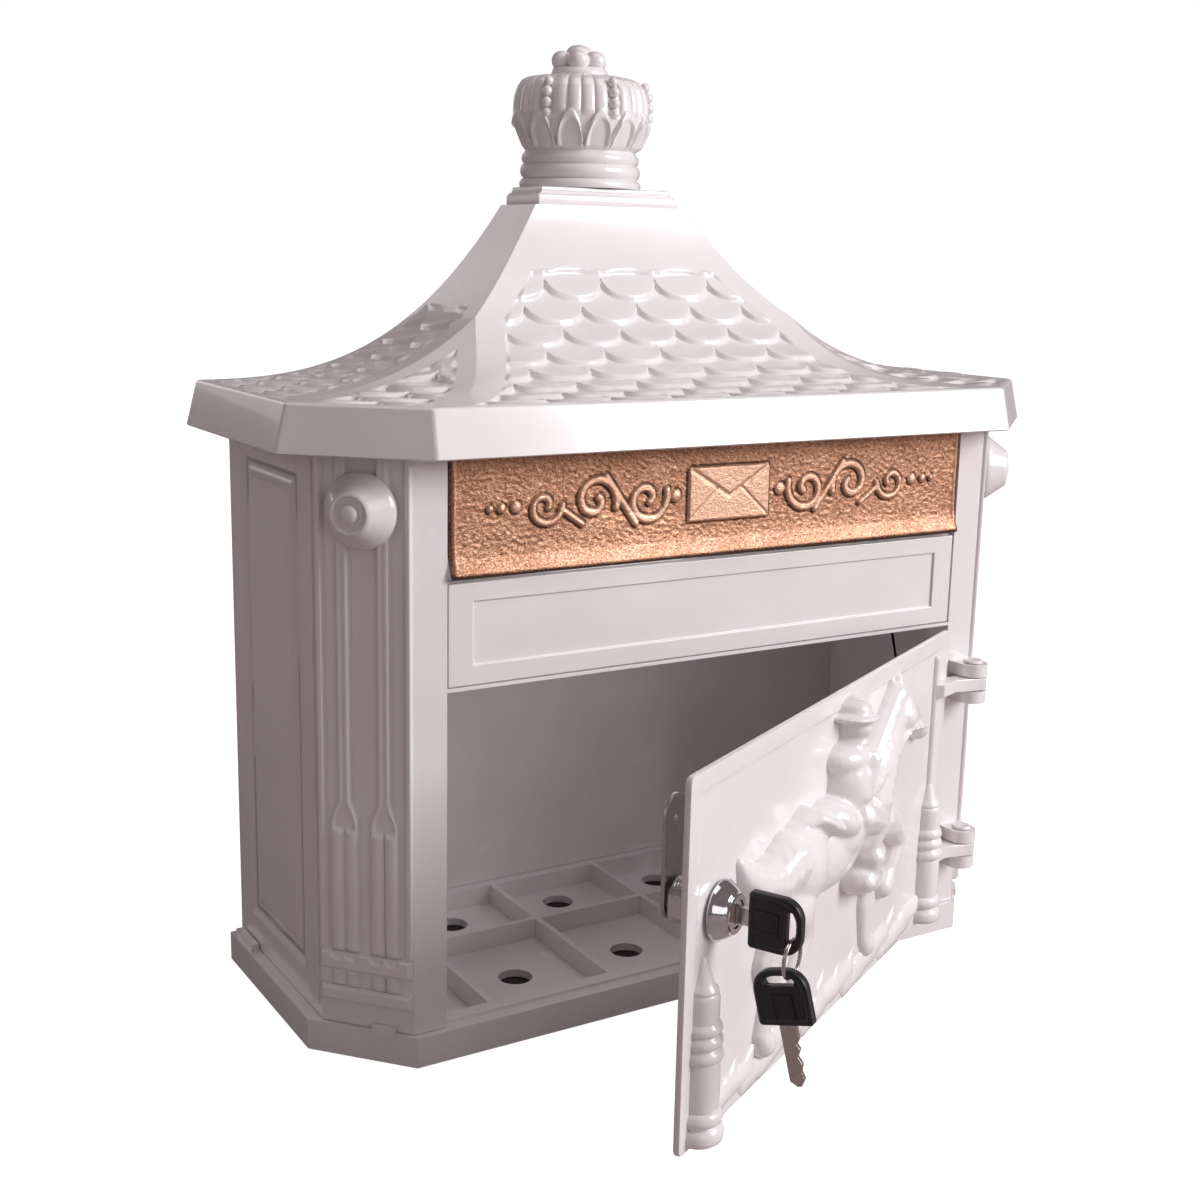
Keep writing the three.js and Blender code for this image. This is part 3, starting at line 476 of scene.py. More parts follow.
def roof_face(p, bands, mirror_u):
    """Sinks a shingled field into one face of the roof. bands are the left, right, top and bottom borders."""
    left, right, top, bottom = bands
    width = np.linalg.norm(p[:, -1] - p[:, 0], axis=1)[:, None]
    run = np.linspace(0, 1, p.shape[1])[None, :]
    u = run * width
    steps = np.linalg.norm(np.diff(p[:, p.shape[1] // 2], axis=0), axis=1)
    climb = np.concatenate([[0], np.cumsum(steps)])[:, None] + 0 * u
    inside = np.minimum(np.minimum(u - left, width - u - right), np.minimum(climb - bottom, top - climb))
    sink = smooth(inside / 2.4)
    across = u - width / 2 if mirror_u is None else (u if mirror_u else width - u)
    height = -FIELD_DEEP * sink + shingles(across, np.maximum(top - climb, 0)) * sink
    du, dv = np.gradient(p, axis=1), np.gradient(p, axis=0)
    normal = np.cross(du, dv)
    normal /= np.linalg.norm(normal, axis=2, keepdims=True) + 1e-9
    return p + normal * height[..., None]


def roof():
    fine = [slope_level(s) for s in np.linspace(0, 1, 400)]
    path = np.array([(plan["depth"], z) for plan, z in fine])
    length = np.concatenate([[0], np.cumsum(np.linalg.norm(np.diff(path, axis=0), axis=1))])
    rows = 176
    shares = np.interp(np.linspace(0, length[-1], rows), length, np.linspace(0, 1, 400))
    field_top = np.interp(FIELD_TOP_SHARE, np.linspace(0, 1, 400), length)
    counts = [84, 46, 300, 46, 84]

    def spread(ring, z):
        parts = [np.linspace(ring[i], ring[i + 1], n + 1)[min(i, 1):] for i, n in enumerate(counts)]
        flat = np.concatenate(parts)
        return np.column_stack([flat, np.full(len(flat), z)])

    levels = [slope_level(s) for s in shares]
    p = np.array([spread(corners(plan), z) for plan, z in levels])
    edges = np.concatenate([[0], np.cumsum(counts)])
    corner = (9, 9, 1e3, 5)
    borders = [(5, 13, field_top, 5), corner, (15, 15, field_top, 5), corner, (13, 5, field_top, 5)]
    mirrors = [True, None, None, None, False]
    for a, b, bands, mirror_u in zip(edges[:-1], edges[1:], borders, mirrors):
        p[:, a : b + 1] = roof_face(p[:, a : b + 1], bands, mirror_u)
    p[0, :, 2] -= 0.7
    outside = p[::-1]

    top_ring = corners(slope_level(0)[0])
    skirt = []
    for share in (0.06, 0.5, 0.9, 0.97, 1.0):
        ring = top_ring * (1 - share) + corners(EAVE) * share
        skirt.append(spread(ring, SKIRT_TOP - (SKIRT_TOP - SKIRT_BOTTOM) * share))
    skirt[-1] = spread(corners(EAVE, 0.7), SKIRT_BOTTOM)
    skirt.append(spread(corners(EAVE, SKIRT_THICK - 0.7), SKIRT_BOTTOM))
    skirt.append(spread(corners(EAVE, SKIRT_THICK), SKIRT_BOTTOM + 0.8))
    skirt.append(spread(corners(EAVE, SKIRT_THICK), SOFFIT))
    outer = np.concatenate([outside, np.array(skirt)])
    hollow = [spread(corners(HALF_HOLLOW, 0, -3), SOFFIT)]
    for share in (0.3, 0.45, 0.6, 0.75, 0.85, 0.92):
        plan, z = slope_level(share)
        hollow.append(spread(corners(plan, 5.5, -3), z - 6.5))
    hollow = np.array(hollow)
    shape = Shape()
    shape.grid(outer)
    shape.cap(np.concatenate([outer[:, 0], outer[::-1, -1]]))
    shape.grid(np.array([outer[-1], hollow[0]]))
    shape.cap([outer[-1, 0], hollow[0, 0], hollow[0, -1], outer[-1, -1]])
    shape.grid(hollow)
    shape.grid(np.stack([hollow[:, 0], hollow[:, -1]], axis=1))
    shape.cap(hollow[-1])
    shape.cap(outer[0])
    plinth(shape)
    return piece("roof_shingled", shape.bm(), "roof_shell", sharp=50)


def plinth(shape):
    """Two moulded tiers between the roof and the finial, square cut with their backs on the wall."""
    first, second = (40.8, 34.1), (37.4, 30.9)
    steps = [
        (first, 0.2, ROOF_TOP - 0.5), (first, 0, ROOF_TOP + 0.4), (first, 0, 382.9), (first, 0.5, 383.6),
        (first, 1.3, 383.9), (first, 1.3, 384.4), (second, -0.6, 384.6), (second, -0.6, 385.3),
        (second, 0, 385.7), (second, 0, 386.9), (second, 0.5, 387.4),
    ]
    rings = []
    for (half, depth), inset, z in steps:
        w, d = half - inset, depth - inset
        rings.append([(-w, 0, z), (-w, -d, z), (w, -d, z), (w, 0, z)])
    shape.closed(np.array(rings, float))


roof()


# ---- Finial ----
def cut_off(made, plane):
    """Takes away what lies behind a plane across Y, and closes the mesh there."""
    geom = [*made.verts, *made.edges, *made.faces]
    sides = {"plane_co": (0, plane, 0), "plane_no": (0, 1, 0), "clear_outer": True}
    cut = bmesh.ops.bisect_plane(made, geom=geom, **sides)
    rim = [e for e in cut["geom_cut"] if isinstance(e, bmesh.types.BMEdge)]
    bmesh.ops.holes_fill(made, edges=rim, sides=0)
    return made


WALL = -0.01  # just in front of the wall, so that the cut has a face


def finial():
    rib, petal = math.radians(11), math.radians(24)
    profile = [
        (33.2, 387.7), (33.6, 388.6), (33.6, 390.3), (32.6, 391.6), (31.2, 392.3), (32.4, 393.2), (33.1, 395),
        (33.1, 397), (32.3, 398.7), (31, 399.4), (31.9, 400.3), (32.4, 402),
        (32.2, 403.6), (31, 405), (30.4, 406.2),
    ]
    neck = np.array(profile)
    body = [(31.2, 407.2), (32.2, 409.5), (34, 413), (35.8, 417), (36.9, 421),
            (37.2, 425), (37, 429), (36.3, 433),
            (34.8, 437), (32.2, 440.2), (28.8, 442), (24.4, 443), (19, 443.3), (15, 443.4)]
    t = np.linspace(0, len(body) - 1, 90)
    body = np.column_stack([np.interp(t, range(len(body)), [b[k] for b in body]) for k in (0, 1)])
    collar = np.array([(15.5, 443.5), (15.8, 444.4), (15.2, 446), (14.4, 447.4), (12, 448.2), (5, 448.4),
                       (0.05, 448.5)])
    line = np.concatenate([neck, body, collar])
    turn = full_turn(528)
    side = np.abs((turn + math.pi / 2 + math.pi) % (2 * math.pi) - math.pi)  # angle from the front
    r = np.repeat(line[:, :1], len(turn), axis=1)
    z = np.repeat(line[:, 1:], len(turn), axis=1)
    place = (side[None, :] + 0 * z) / rib
    order = np.round(place)
    bead = order % 5 == 0
    ridge = np.sqrt(np.clip(1 - (2 * (place - order)) ** 2, 0, 1))
    band = smooth((z - 421) / 4) * smooth((443.2 - z) / 1.5)
    r = r + band * np.where(bead, -1.2, 1.5 * ridge - 0.9)
    lobe = np.abs(((side[None, :] + 0 * z) / petal) % 1 - 0.5) * 2
    arch = 408 + 17.5 * (1 - lobe**2.2)
    inside = arch - z
    in_band = smooth((z - 406.5) / 2)
    leaf = smooth(inside / 1.8) * 2.4 - smooth((inside - 3) / 2.5) * 1.6 * (1 - smooth((lobe - 0.55) / 0.25))
    r = r + in_band * np.where(inside > 0, leaf, 0) * smooth((r - 15) / 4)
    r = np.minimum(r, 38.4)
    p = np.stack([r * np.cos(turn), r * np.sin(turn), z], -1)
    shape = Shape().closed(p)
    for azimuth in np.radians([-55, 0, 55]):
        beads = ((438.6, 34.6, 2.5), (433.6, 36.2, 2.7), (428.4, 36.7, 2.7), (423.4, 36.6, 2.6))
        for height, radius, size in beads:
            centre = (radius * math.sin(azimuth), -radius * math.cos(azimuth), height)
            shape.ball(centre, (size, size, size), 16)
    for azimuth in np.radians([-90, -30, 30, 90]):
        shape.ball((9.7 * math.sin(azimuth), -9.7 * math.cos(azimuth), 450.8), (5.9, 5.9, 5.2), 24)
    shape.ball((0, 0, 454.4), (7.3, 7.3, 5.1), 28)
    return piece("finial_crowned", cut_off(shape.bm(), WALL), "finial_crown", sharp=45)


finial()


# ---- Cabinet ----
CABINET = {"half": 189.5, "side": 110.5, "front": 160.0, "depth": 144.5}


def chamfer(sign):
    """The middle of a chamfered corner, its outward normal, and its run towards the front."""
    across, along = CABINET["half"] - CABINET["front"], CABINET["depth"] - CABINET["side"]
    length = math.hypot(across, along)
    x, y = (CABINET["half"] + CABINET["front"]) / 2, (CABINET["side"] + CABINET["depth"]) / 2
    middle = Vector((sign * x, -y, 0))
    return middle, Vector((sign * along, -across, 0)) / length, Vector((-sign * across, -along, 0)) / length


STRIPS = (-9.9, 9.2)  # mid lines of the two strips of a pilaster, along the chamfer
LANCET_TOP, FLUTE_TOP = 122.5, 110.0
ROSETTE_HEIGHT = 249.0


def pilaster_height(run, z):
    """How far a pilaster stands off its chamfer: two strips that widen into pairs of flutes, over ledges."""
    out = np.full(run.shape, 0.3)
    above = smooth((z - 50) / 1.5)
    for edge in (-20.8, 20.8):
        out += above * 2.0 * smooth((2.0 - np.abs(run - edge)) / 1.0)
    for middle in STRIPS:
        off = np.abs(run - middle)
        spread = smooth((LANCET_TOP - z) / (LANCET_TOP - FLUTE_TOP))
        half = 3.3 + 3.9 * spread
        rim = smooth((half - off) / 1.1)
        sunk = smooth((half - 2.2 - off) / 1.0) * (1 - smooth((z - FLUTE_TOP - 4) / 5) * 0.55)
        strip = 2.1 * rim - 0.7 * sunk
        flute = 0.75 + 2.1 * np.sqrt(np.clip(1 - ((np.abs(run - middle) - 3.45) / 3.45) ** 2, 0, 1))
        fluted = smooth((FLUTE_TOP - 1 - z) / 3)
        inside = smooth((6.95 - off) / 0.8)
        out += above * np.where(fluted > 0, strip * (1 - fluted) + flute * fluted * inside, strip)
    return ledges(run, z, out)


def ledges(run, z, out):
    within = smooth((21.9 - np.abs(run)) / 0.9)
    round_ends = np.zeros(run.shape)
    for middle in STRIPS:
        for flute in (-3.45, 3.45):
            share = (run - middle - flute) / 3.45
            round_ends = np.maximum(round_ends, np.sqrt(np.clip(1 - share**2, 0, 1)))
    for low, high, rise in ((40.6, 50.6, 3.6), (25.6, 33.9, 3.2)):
        edge = high - (2.6 * round_ends if high > 40 else 0)
        bed = smooth((z - low) / 1.8) * smooth((edge - z) / 1.3) * within
        out = np.maximum(out, 0.3 + (rise - 0.3) * bed)
    dentil = round_ends * smooth((z - 33) / 1.5) * smooth((41.5 - z) / 1.0)
    return np.maximum(out, 0.3 + 2.5 * dentil)


def pilaster(sign, side):
    middle, normal, along = chamfer(sign)
    heights = np.concatenate([np.linspace(16, 126, 170), np.linspace(128, 283.4, 34)])
    run, z = np.meshgrid(np.linspace(-22.4, 22.4, 113), heights)
    out = pilaster_height(run, z)
    flat = np.array(middle) + run[..., None] * np.array(along)
    front, back = flat + out[..., None] * np.array(normal), flat - 1.2 * np.array(normal)
    front[..., 2] = back[..., 2] = z
    shape = Shape().grid(front).grid(back[[0, -1]][:, [0, -1]])
    for side_of in (np.s_[0], np.s_[-1], np.s_[:, 0], np.s_[:, -1]):
        shape.cap([*front[side_of], *back[side_of][[-1, 0]]])
    piece(f"pilaster_{side}", shape.bm(), body="cabinet", slot="white_powder_coat", sharp=60)


def rosette(sign, side):
    """A turned cone with a stepped centre, standing on the chamfer."""
    middle, normal, _ = chamfer(sign)
    profile = [
        (2.4, 1.8), (15.9, 1.8), (16.5, 2.4), (16.5, 3.6), (16.1, 4.6), (15.3, 5.6), (9.6, 13.2), (9.0, 13.9),
        (8.2, 14.2), (7.4, 13.8), (7.0, 12.8), (6.6, 12.4), (5.6, 12.4),
        (5.1, 13.0), (4.7, 13.1), (2.4, 13.1),
    ]
    rings = turned(profile, 64)
    shape = Shape().grid(np.array([*rings, rings[0]]), wrap=True)
    stand = normal.to_track_quat("Z", "Y").to_matrix().to_4x4()
    place = Matrix.Translation(middle + Vector((0, 0, ROSETTE_HEIGHT))) @ stand
    piece(f"rosette_turned_{side}", shape.moved(place).bm(), f"corner_rosette_{side}", sharp=40)
    head = [(3.9, 13.6), (3.9, 14.2), (3.2, 15.0), (1.8, 15.3), (0.05, 15.4)]
    screw = Shape().lathe([(2.0, -5), (2.0, 13.5), *head], 40)
    piece(f"rosette_screw_head_{side}", screw.moved(place).bm(), f"rosette_screw_{side}", sharp=50)


def side_field(sign, side):
    """The sunk field of a side panel: a sloped frame, a shadow groove and a flat middle."""
    y, z = np.meshgrid(np.linspace(-90.6, -15.4, 130), np.linspace(29.4, 264.6, 240))
    inside = np.minimum(np.minimum(y + 90, -16 - y), np.minimum(z - 30, 264 - z))
    lift = 0.25 * smooth((inside + 0.6) / 0.6) - 1.75 * smooth(inside / 3.6)
    lift += 1.15 * smooth((inside - 6.5) / 4.5) + 0.25 * smooth((inside - 11.5) / 1.0)
    x = sign * (CABINET["half"] + lift)
    front = np.stack([x, y, z], -1)
    back = front.copy()
    back[..., 0] = sign * (CABINET["half"] - 2.1)
    shape = Shape().slab(front, back)
    piece(f"side_field_{side}", shape.bm(), f"side_panel_{side}", sharp=60)


for side, sign in (("left", -1), ("right", 1)):
    pilaster(sign, side)
    rosette(sign, side)
    side_field(sign, side)

CASTING_EDGES = {
    "side_panel_left": 1.2,
    "side_panel_right": 1.2,
    "name_panel": 0.7,
    "base_tray": 0.8,
    "back_plate": 0.5,
    "front_casting": 0.6,
    "hinge_pin_upper": 0.5,
    "hinge_pin_lower": 0.5,
}
for name, width in CASTING_EDGES.items():
    rounded(name, width)


# ---- Letter flap ----
FLAP_HALF, FLAP_AXIS_Z = 143.2, 267.0


def stroke(x, z, points, half):
    """Distance inside a rounded line through points, so that it is positive within half of it."""
    best = np.full(x.shape, 1e9)
    for (x0, z0), (x1, z1) in zip(points[:-1], points[1:]):
        dx, dz = x1 - x0, z1 - z0
        t = np.clip(((x - x0) * dx + (z - z0) * dz) / (dx * dx + dz * dz), 0, 1)
        best = np.minimum(best, np.hypot(x - x0 - t * dx, z - z0 - t * dz))
    return half - best


def scroll_line(x0, z0, turns, start, end, direction=1, phase=0.0, count=40):
    """A spiral that winds in from radius start to radius end."""
    t = np.linspace(0, 1, count)
    angle = phase + direction * turns * 2 * math.pi * t
    radius = start + (end - start) * t
    return list(zip(x0 + radius * np.cos(angle), z0 + radius * np.sin(angle)))


def flap_ornament(x, z):
    """A raised envelope between scrolls and beads, mirrored about the middle of the flap."""
    middle = 248.6
    ax = np.abs(x)
    inside = np.minimum(23.5 - ax, 13.2 - np.abs(z - middle))
    rise = smooth(inside / 1.3)
    fold = stroke(ax, z, [(0, middle - 1.5), (22.5, middle + 12)], 1.4)
    lower = stroke(ax, z, [(7, middle + 2.0), (22.5, middle - 12)], 1.0)
    rise = rise - 0.42 * smooth(fold / 1.0) - 0.36 * smooth(lower / 0.9)
    parts = [
        (scroll_line(45.5, middle - 0.5, 1.15, 11.6, 2.2, 1, math.pi * 0.9), 2.3),
        (scroll_line(72.5, middle + 0.5, 1.15, 11.6, 2.2, -1, math.pi * 1.1), 2.3),
        ([(51, middle - 11.0), (59, middle), (67, middle + 11.0)], 2.1),
        (scroll_line(98, middle - 0.5, 1.05, 9.0, 2.0, 1, math.pi), 2.0),
        ([(79, middle - 9.5), (90, middle - 2)], 1.9),
    ]
    for points, half in parts:
        rise = np.maximum(rise, smooth(stroke(ax, z, points, half) / 1.4))
    for bead, size in ((29.5, 3.1), (112.0, 2.8), (119.0, 2.3), (124.6, 1.8)):
        rise = np.maximum(rise, np.sqrt(np.clip(1 - (np.hypot(ax - bead, z - middle) / size) ** 2, 0, 1)))
    return rise


def hammer_marks(x, z):
    """Fine irregular tooling of the casting's ground."""
    made = np.zeros(x.shape)
    for i in range(x.shape[0]):
        for j in range(x.shape[1]):
            coarse = noise.noise((x[i, j] * 0.42, z[i, j] * 0.62, 3.0))
            fine = noise.noise((x[i, j] * 0.95, z[i, j] * 1.3, 9.0))
            made[i, j] = coarse + 0.6 * fine
    return made


def letter_flap():
    face = [(270.0, -144.5), (262, -144.6), (240, -144.7), (232, -145.0), (228, -145.6), (224.5, -146.7),
            (221.8, -147.9), (220.2, -148.1), (219.6, -147.5)]
    levels, line = zip(*reversed(face))
    heights = np.concatenate([np.linspace(270, 229, 84), np.linspace(228.4, 219.6, 26)])
    xs = np.linspace(-FLAP_HALF, FLAP_HALF, 520)
    x, z = np.meshgrid(xs, heights)
    y = np.repeat(np.interp(heights, levels, line)[:, None], len(xs), axis=1)
    margin = np.minimum(smooth((FLAP_HALF - np.abs(x)) / 2.0), smooth((z - 219.6) / 1.5))
    border = smooth((np.abs(x) - (FLAP_HALF - 3.2)) / 1.0) * smooth((z - 224) / 4)
    lip = smooth((230 - z) / 4)
    marks = hammer_marks(x, z)
    ornament = flap_ornament(x, z)
    calm = 1 - 0.7 * np.clip(ornament + lip + border, 0, 1)
    out = 0.34 * marks * calm + 1.5 * ornament + 0.7 * border
    y = np.maximum(y - out * margin + 0.8 * (1 - margin), -148.5)
    front = np.stack([x, y, z], -1)
    rear = np.interp(heights, [219.6, 221, 230, 270], [-146.9, -145.6, -142.4, -142.2])
    thick = np.repeat(rear[:, None], len(xs), axis=1)
    back = np.stack([x, thick, z], -1)
    shape = Shape().slab(front, back)
    knuckle = ((133, 2.2), (133, 3.4), (133.5, 3.8), (142.7, 3.8))
    knuckle += ((FLAP_HALF, 3.4), (FLAP_HALF, 2.2), (133, 2.2))
    for sign in (-1, 1):
        turn = full_turn(24)
        ends = [[(sign * x0, -138.6 + r * math.cos(a), FLAP_AXIS_Z + r * math.sin(a)) for a in turn]
                for x0, r in knuckle]
        shape.grid(np.array(ends), wrap=True)
    obj = piece("letter_flap_hammered", shape.bm(), "letter_flap", sharp=60)
    mesh = obj.data
    # This attribute holds rubbed wear on the crests, plus a painted highlight and painted shade on the lip.
    crest_wear_and_lip_light = mesh.attributes.new("crest_wear_and_lip_light", "FLOAT", "POINT")
    co = np.zeros(len(mesh.vertices) * 3)
    mesh.vertices.foreach_get("co", co)
    co = co.reshape(-1, 3) / MM + (0, 0, ORIGIN_HEIGHT)
    base = np.interp(co[:, 2], levels, line)
    lift = np.where(co[:, 1] < base + 1.5, base - co[:, 1], -0.2)
    # Painted highlight: the lip is a little lighter. Painted shade: the lip's bottom edge is darker.
    lip_highlight_and_edge_shade = smooth((230 - co[:, 2]) / 3) * 0.05 - smooth((222.2 - co[:, 2]) / 1.5) * 0.3
    orn = flap_ornament(co[:, 0], co[:, 2])
    around = np.maximum(*(flap_ornament(co[:, 0] + step, co[:, 2] + step) for step in (0.8, -0.8)))
    halo = smooth(around / 0.5) * (1 - smooth(orn / 0.5)) * 0.42
    value = 0.30 + 0.42 * np.clip(lift, -0.5, 0.4) + 0.16 * smooth(orn / 0.8) + lip_highlight_and_edge_shade - halo
    crest_wear_and_lip_light.data.foreach_set("value", value.astype(np.float32))


letter_flap()


# ---- Door ----
HINGE = next(j for j in frame["joints"] if j["name"] == "door_hinge")
HINGE_X, HINGE_Y = HINGE["pos_m"][0] / MM, HINGE["pos_m"][1] / MM
DOOR_OPEN = math.radians(-HINGE["range_deg"][0])
DOOR_HALF, DOOR_BOTTOM, DOOR_TOP = 143.4, 15.2, 169.2
DOOR_FACE, DOOR_BACK = -144.3, -141.3
FIELD_FACE = DOOR_FACE + 0.8
RELIEF_ROOT = FIELD_FACE + 0.9  # the reliefs end just inside the door's face
LOCK_X, LOCK_Z = -116.4, 108.5
TO_HINGE = Matrix.Translation((HINGE_X, HINGE_Y, 0))
DOOR_TURN = TO_HINGE @ Matrix.Rotation(DOOR_OPEN, 4, "Z") @ TO_HINGE.inverted()


def opened(made):
    """Swings a mesh drawn in the closed door to where the door stands ajar."""
    bmesh.ops.transform(made, verts=made.verts, matrix=DOOR_TURN)
    return made


def rounded_ring(half, low, high, radius, y, inset=0.0):
    """A rounded rectangle in the door's plane."""
    w, b, t = half - inset, low + inset, high - inset
    r = max(0.3, radius - inset)
    spots = [(w - r, t - r, 0), (-w + r, t - r, 90), (-w + r, b + r, 180), (w - r, b + r, 270)]
    ring = []
    for cx, cz, start in spots:
        ring += [(x, y, z) for x, z in corner_arc(cx, cz, r, start, 7)]
    return ring


def cut_by(obj, made):
    """Cuts a closed mesh out of a piece."""
    into_frame(made)
    cutter = placed("cutter", mesh_of(made, "cutter"))
    boolean = obj.modifiers.new("cut", "BOOLEAN")
    boolean.operation, boolean.solver, boolean.object = "DIFFERENCE", "EXACT", cutter
    settle(obj)
    bpy.data.objects.remove(cutter)


def tube_y(x, z, profile, count=48):
    """A (radius, y) profile turned about an axis along Y."""
    shape = Shape().lathe(profile, count)
    return shape.moved(Matrix.Translation((x, 0, z)) @ Matrix.Rotation(math.radians(-90), 4, "X"))


def door_plate():
    ring = lambda y, inset: rounded_ring(DOOR_HALF, DOOR_BOTTOM, DOOR_TOP, 3.0, y, inset)
    rear = [ring(DOOR_BACK, 0.6), ring(DOOR_BACK - 0.5, 0)]
    edge = [ring(DOOR_FACE + 0.8, 0), ring(DOOR_FACE + 0.2, 0.25), ring(DOOR_FACE, 0.9)]
    step = [ring(DOOR_FACE, 7.2), ring(DOOR_FACE + 0.15, 7.9), ring(FIELD_FACE - 0.1, 8.9)]
    rings = [*rear, *edge, *step, ring(FIELD_FACE, 9.6)]
    made = opened(Shape().closed(np.array(rings)).bm())
    obj = piece("door_plate", made, "door_panel", sharp=40)
    bore = tube_y(LOCK_X, LOCK_Z, [(9.9, DOOR_FACE - 6), (9.9, DOOR_BACK + 6)])
    cut_by(obj, opened(bore.bm()))
    finish_piece(obj, "door_panel", None, None, 40)


def door_post(name, x, rod_top):
    foot = [(0.05, 16.9), (9.2, 17), (10.2, 17.8), (10.6, 19.5), (10.6, 21.5), (10, 23.4), (8.8, 24.2)]
    foot += [(8.5, 24.6), (9.6, 25.6), (10.1, 27.4), (9.6, 29.4), (8.6, 30.4)]
    shaft = [(8.0, 30.8), (8.3, 32), (8.5, 36), (8.5, 47), (8.2, 50)]
    beads = [(7.9, 51), (8.9, 51.8), (9.6, 53.4), (9.2, 55.4), (8.1, 56.4), (7.8, 57), (8.7, 57.8)]
    beads += [(9.2, 59.3), (8.8, 61), (7.8, 62), (7.6, 62.5), (8.4, 63.2), (8.8, 64.6), (8.4, 66.2)]
    neck = [(7.5, 67.2), (7.2, 68), (7.4, 70), (7.4, 76.8), (7.0, 78.6), (6.4, 79.2), (6.8, 79.9), (6.6, 81)]
    spire = [(5.6, 82), (4.6, 84), (3.2, 88), (2.0, 92), (0.05, 93.6)]
    profile = foot + shaft + beads + neck + spire
    shape = Shape().lathe(profile, 56)
    if rod_top > 94:
        tip = [(2.3, rod_top - 1.5), (1.6, rod_top - 0.3), (0.05, rod_top)]
        shape.lathe([(0.05, 86), (2.3, 86.2), *tip], 24)
    shape.moved(Matrix.Translation((x, FIELD_FACE - 0.2, 0)))
    piece(name, opened(cut_off(shape.bm(), RELIEF_ROOT)), "door_panel", sharp=50)


class Relief:
    """Overlapping rounded masses on the door's face, melted together into one cast surface."""

    def __init__(self, flatten):
        self.shape = Shape()
        self.flatten = flatten

    def mass(self, x, z, rx, rz, out, lean=0):
        turn = Matrix.Translation((x, FIELD_FACE + 0.6, z)) @ Matrix.Rotation(math.radians(-lean), 4, "Y")
        ball = Shape().ball((0, 0, 0), (rx, out, rz), 24).moved(turn)
        self.shape.add(ball.points, ball.faces)

    def limb(self, *knots, flat=None):
        """A chain of balls through (x, z, radius) knots."""
        flat = flat or self.flatten
        for (x0, z0, r0), (x1, z1, r1) in zip(knots[:-1], knots[1:]):
            count = max(2, int(math.hypot(x1 - x0, z1 - z0) / (0.4 * min(r0, r1))))
            for k in range(count + 1):
                t = k / count
                r = r0 + (r1 - r0) * t
                centre = (x0 + (x1 - x0) * t, FIELD_FACE + 0.6, z0 + (z1 - z0) * t)
                ball = Shape().ball(centre, (r, r * flat, r), 12)
                self.shape.add(ball.points, ball.faces)

    def melted(self, voxel, passes):
        obj = placed("relief", mesh_of(self.shape.bm(), "relief"))
        remesh = obj.modifiers.new("melt", "REMESH")
        remesh.mode, remesh.voxel_size = "VOXEL", voxel
        even = obj.modifiers.new("even", "SMOOTH")
        even.factor, even.iterations = 0.5, passes
        settle(obj)
        made = bmesh.new()
        made.from_mesh(obj.data)
        bpy.data.objects.remove(obj)
        return made


def horse(relief):
    relief.mass(-46, 104, 24, 21, 16, -12)
    relief.mass(-12, 99, 36, 18, 13)
    relief.mass(28, 103, 21, 21, 15, 15)
    relief.limb((32, 112, 17), (48, 131, 13.5), (60, 145, 10.5), flat=0.95)
    relief.mass(66, 143, 11, 9.5, 13.5, 20)
    relief.limb((66, 148, 9), (80, 140, 8), (93, 131, 6.8), (99, 128, 6.6), flat=1.3)
    relief.limb((60, 153, 4), (61, 162, 1.8), flat=1.5)
    relief.limb((67, 152, 4), (71, 161, 1.8), flat=1.8)
    for step in range(6):
        x, z = 26 + 6.2 * step, 126 + 5.4 * step
        relief.limb((x + 5, z + 2, 5.6), (x - 3, z - 4, 5.2), (x - 6, z - 13, 2.6), flat=1.7)
    relief.limb((-60, 110, 14), (-73, 106, 12.5), (-85, 108, 9.5), (-94, 114, 6), (-99, 122, 2.6), flat=1.15)
    relief.mass(-54, 88, 18, 17, 14.5)
    relief.limb((-62, 86, 12), (-74, 70, 8.5), (-67, 56, 6.4), (-74, 38, 5.4), (-70, 32, 7), flat=1.1)
    relief.limb((-40, 86, 11), (-32, 68, 7.5), (-41, 54, 6), (-38, 38, 5), (-33, 32, 6.6), flat=0.9)
    relief.limb((32, 92, 12), (44, 72, 8), (39, 56, 6), (42, 38, 5), (47, 32, 6.4), flat=0.95)
    relief.limb((44, 98, 12), (66, 88, 8.5), (79, 76, 6.4), (70, 62, 5.4), (64, 56, 6.4), flat=1.15)


def rider(relief):
    relief.mass(-3, 106, 23, 15, 15.5)
    relief.mass(-12, 114, 18, 10, 17, -25)
    relief.mass(3, 126, 14, 18, 15.5, 5)
    relief.mass(4, 139, 17, 8, 13.5)
    relief.mass(7, 145.5, 9, 3.2, 12.5)
    relief.mass(8, 151.5, 8, 7.6, 13)
    relief.mass(8, 156.5, 15.5, 2.9, 15.5, -5)
    relief.mass(7, 160.5, 9.4, 5.6, 12.5)
    relief.limb((10, 138, 7), (2, 122, 6.6), (22, 122, 5.6), (36, 126, 5), flat=2.6)
    relief.limb((4, 112, 11.5), (24, 104, 10), (23, 87, 8), flat=1.75)
    relief.limb((23, 87, 8.4), (24, 73, 6.8), (36, 69, 5.6), flat=2.1)
    relief.limb((18, 76, 7.6), (29, 79, 7.2), flat=2.1)
    relief.limb((36, 126, 2), (66, 137, 2), (90, 133, 2), flat=6.5)
    relief.limb((-30, 118, 6), (-40, 124, 4.6), (-47, 123, 3), flat=3.2)


def ground(relief):
    for k in range(15):
        x = -108 + 15.5 * k
        z = 24 + 2.5 * math.sin(1.9 * k)
        relief.limb((x - 10, z - 1, 6.5), (x + 10, z + 1.5 * math.cos(2.3 * k), 6), flat=0.5)
    for k in range(12):
        x = -100 + 18 * k
        z = 30 + 3 * math.sin(2.7 * k)
        relief.limb((x, z - 2, 3.6), (x + 7, z + 5, 2.2), flat=0.6)


